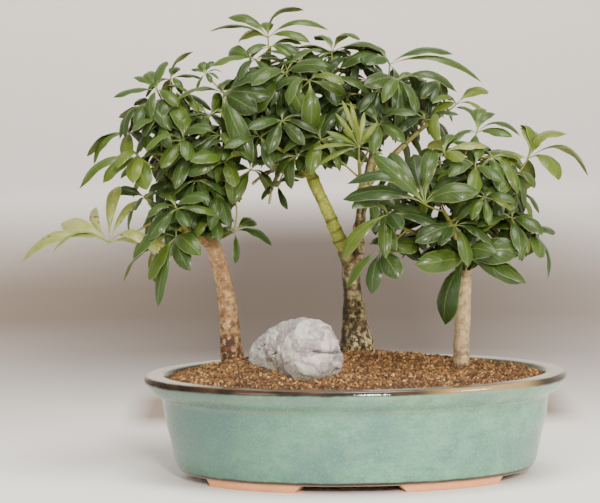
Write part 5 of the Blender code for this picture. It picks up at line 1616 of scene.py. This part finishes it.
studio = {
    "cameraTarget": (-38.5, 0, 162.4), "cameraDistance": 2000.0, "cameraElevation": 4.5, "cameraRoll": 0.8,
    "lens": 166.7, "sensor": 36.0,
    # Each light: where it stands, how wide it is, its power and its colour.
    "lights": [("frontLight", (270, -2200, 900), 300, 48.0, shade(255, 249, 240)),
               ("topLight", (150, -500, 2300), 1400, 52.0, shade(255, 251, 246)),
               ("leftLight", (-1500, -1500, 900), 800, 6.0, shade(248, 250, 252)),
               ("rightLight", (1600, -1100, 900), 600, 24.0, shade(255, 246, 232)),
               ("backdropLight", (0, 2800, 2400), 1500, 60.0, shade(255, 250, 246))],
    "aim": (0, 0, 120), "backdropAim": (0, 4800, 500), "sky": 0.84, "skyColour": shade(236, 232, 228),
    # The floor: a round sheet that turns up into a wall all round.
    "floorSides": 96, "floorStarts": (1.0, 600.0), "floorRadius": 4200.0, "floorTurn": 1200.0,
    "turnSteps": 12, "wallTop": 3600.0, "pale": shade(252, 250, 245), "paler": shade(254, 252, 248),
    "far": shade(231, 228, 224), "wall": shade(244, 238, 232), "dusk": shade(140, 123, 107),
    "gapShade": shade(70, 54, 41), "shadow": shade(138, 122, 108),
}


def makeFloorMesh():
    radius, turn, sides = studio["floorRadius"], studio["floorTurn"], studio["floorSides"]
    rows = [(start, 0.0) for start in studio["floorStarts"]] + [(radius, 0.0)]
    for k in range(1, studio["turnSteps"] + 1):
        angle = math.pi / 2 * k / studio["turnSteps"]
        rows.append((radius + turn * math.sin(angle), turn - turn * math.cos(angle)))
    rows.append((radius + turn, studio["wallTop"]))
    points = [pt(reach * math.cos(angle), reach * math.sin(angle), z)
              for reach, z in rows for angle in circle(sides)]
    last = (len(rows) - 1) * sides
    faces = [(row + k, row + sides + k, row + sides + (k + 1) % sides, row + (k + 1) % sides)
             for row in range(0, last, sides) for k in range(sides)]
    return meshFrom("studio_floor", points, [], faces + [tuple(range(sides))])


# Painted shade: the floor darkens behind the trees, where their shadows would lie on a backdrop.
def makeFloorMaterial():
    material, w, shader = newMaterial("paleFloor", 0.6, {"Specular IOR Level": 0.2})
    point = w.objectPoint()
    x, y, z = w.parts(point)
    away = w.vector("LENGTH", point)
    dim = w.times(w.range(away, 0.4, 1.15), w.fade(away, 1.5, 3.4), w.range(x, 0.0, 0.45, 1.0, 0.72))
    columns = w.times(w.fade(w.apart(x, 0.02), 0.1, 0.45), w.range(y, 0.05, 0.3))
    gapShade = w.times(w.range(away, 0.25, 0.8), w.fade(away, 2.2, 3.6), columns)
    colour = w.mix(w.noise(point, 3.0), studio["pale"], studio["paler"])
    # Painted shade: the floor darker further back, as the light falls off there; the wall is a little
    # lighter.
    colour = w.mix(w.range(y, -0.02, 0.35), colour, studio["far"])
    colour = w.mix(w.range(z, 0.05, 0.35), colour, studio["wall"])
    colour = w.mix(dim, colour, studio["dusk"])
    # Painted shade: the trees' darkest shadow, in the middle behind them.
    colour = w.mix(w.times(gapShade, 0.9), colour, studio["gapShade"])
    # A painted soft shadow of the pot on the floor behind it.
    behind = w.times(w.range(y, 0.22, 0.3), w.fade(y, 0.4, 0.5))
    shadow = w.times(behind, w.fade(w.apart(x, 0.0375), 0.168, 0.195))
    w.feed(shader, "Base Color", w.mix(shadow, colour, studio["shadow"]))
    return material


def makeStudio():
    target = place(studio["cameraTarget"])
    lift = math.radians(studio["cameraElevation"])
    camera = bpy.data.objects.new("camera", bpy.data.cameras.new("camera"))
    bpy.context.scene.collection.objects.link(camera)
    camera.data.lens = studio["lens"]
    camera.data.sensor_width = studio["sensor"]
    camera.location = target + Vector((0, -math.cos(lift), math.sin(lift))) * studio["cameraDistance"] * mm
    way = (target - camera.location).normalized()
    level = way.to_track_quat("-Z", "Y")
    camera.rotation_mode = "QUATERNION"
    camera.rotation_quaternion = Quaternion(way, math.radians(studio["cameraRoll"])) @ level
    bpy.context.scene.camera = camera

    for name, spot, size, power, colour in studio["lights"]:
        light = bpy.data.lights.new(name, "AREA")
        light.shape = "DISK"
        light.size = size * mm
        light.energy = power
        light.color = colour[:3]
        lamp = bpy.data.objects.new(name, light)
        bpy.context.scene.collection.objects.link(lamp)
        lamp.location = place(spot)
        aim = place(studio["backdropAim" if name == "backdropLight" else "aim"])
        lamp.rotation_euler = (aim - lamp.location).to_track_quat("-Z", "Y").to_euler()

    world = bpy.data.worlds.new("studioAir")
    world.use_nodes = True
    air = world.node_tree.nodes["Background"].inputs
    air["Color"].default_value = studio["skyColour"]
    air["Strength"].default_value = studio["sky"]
    bpy.context.scene.world = world

    floor = shown("studio_floor", makeFloorMesh())
    floor.data.shade_smooth()
    floor.data.materials.append(makeFloorMaterial())
    print("studio made")


makeStudio()
makePot()
makeGravel()
makeStone()
finishScreens()
makeTrunks()
makeSprays(placeCrowns())
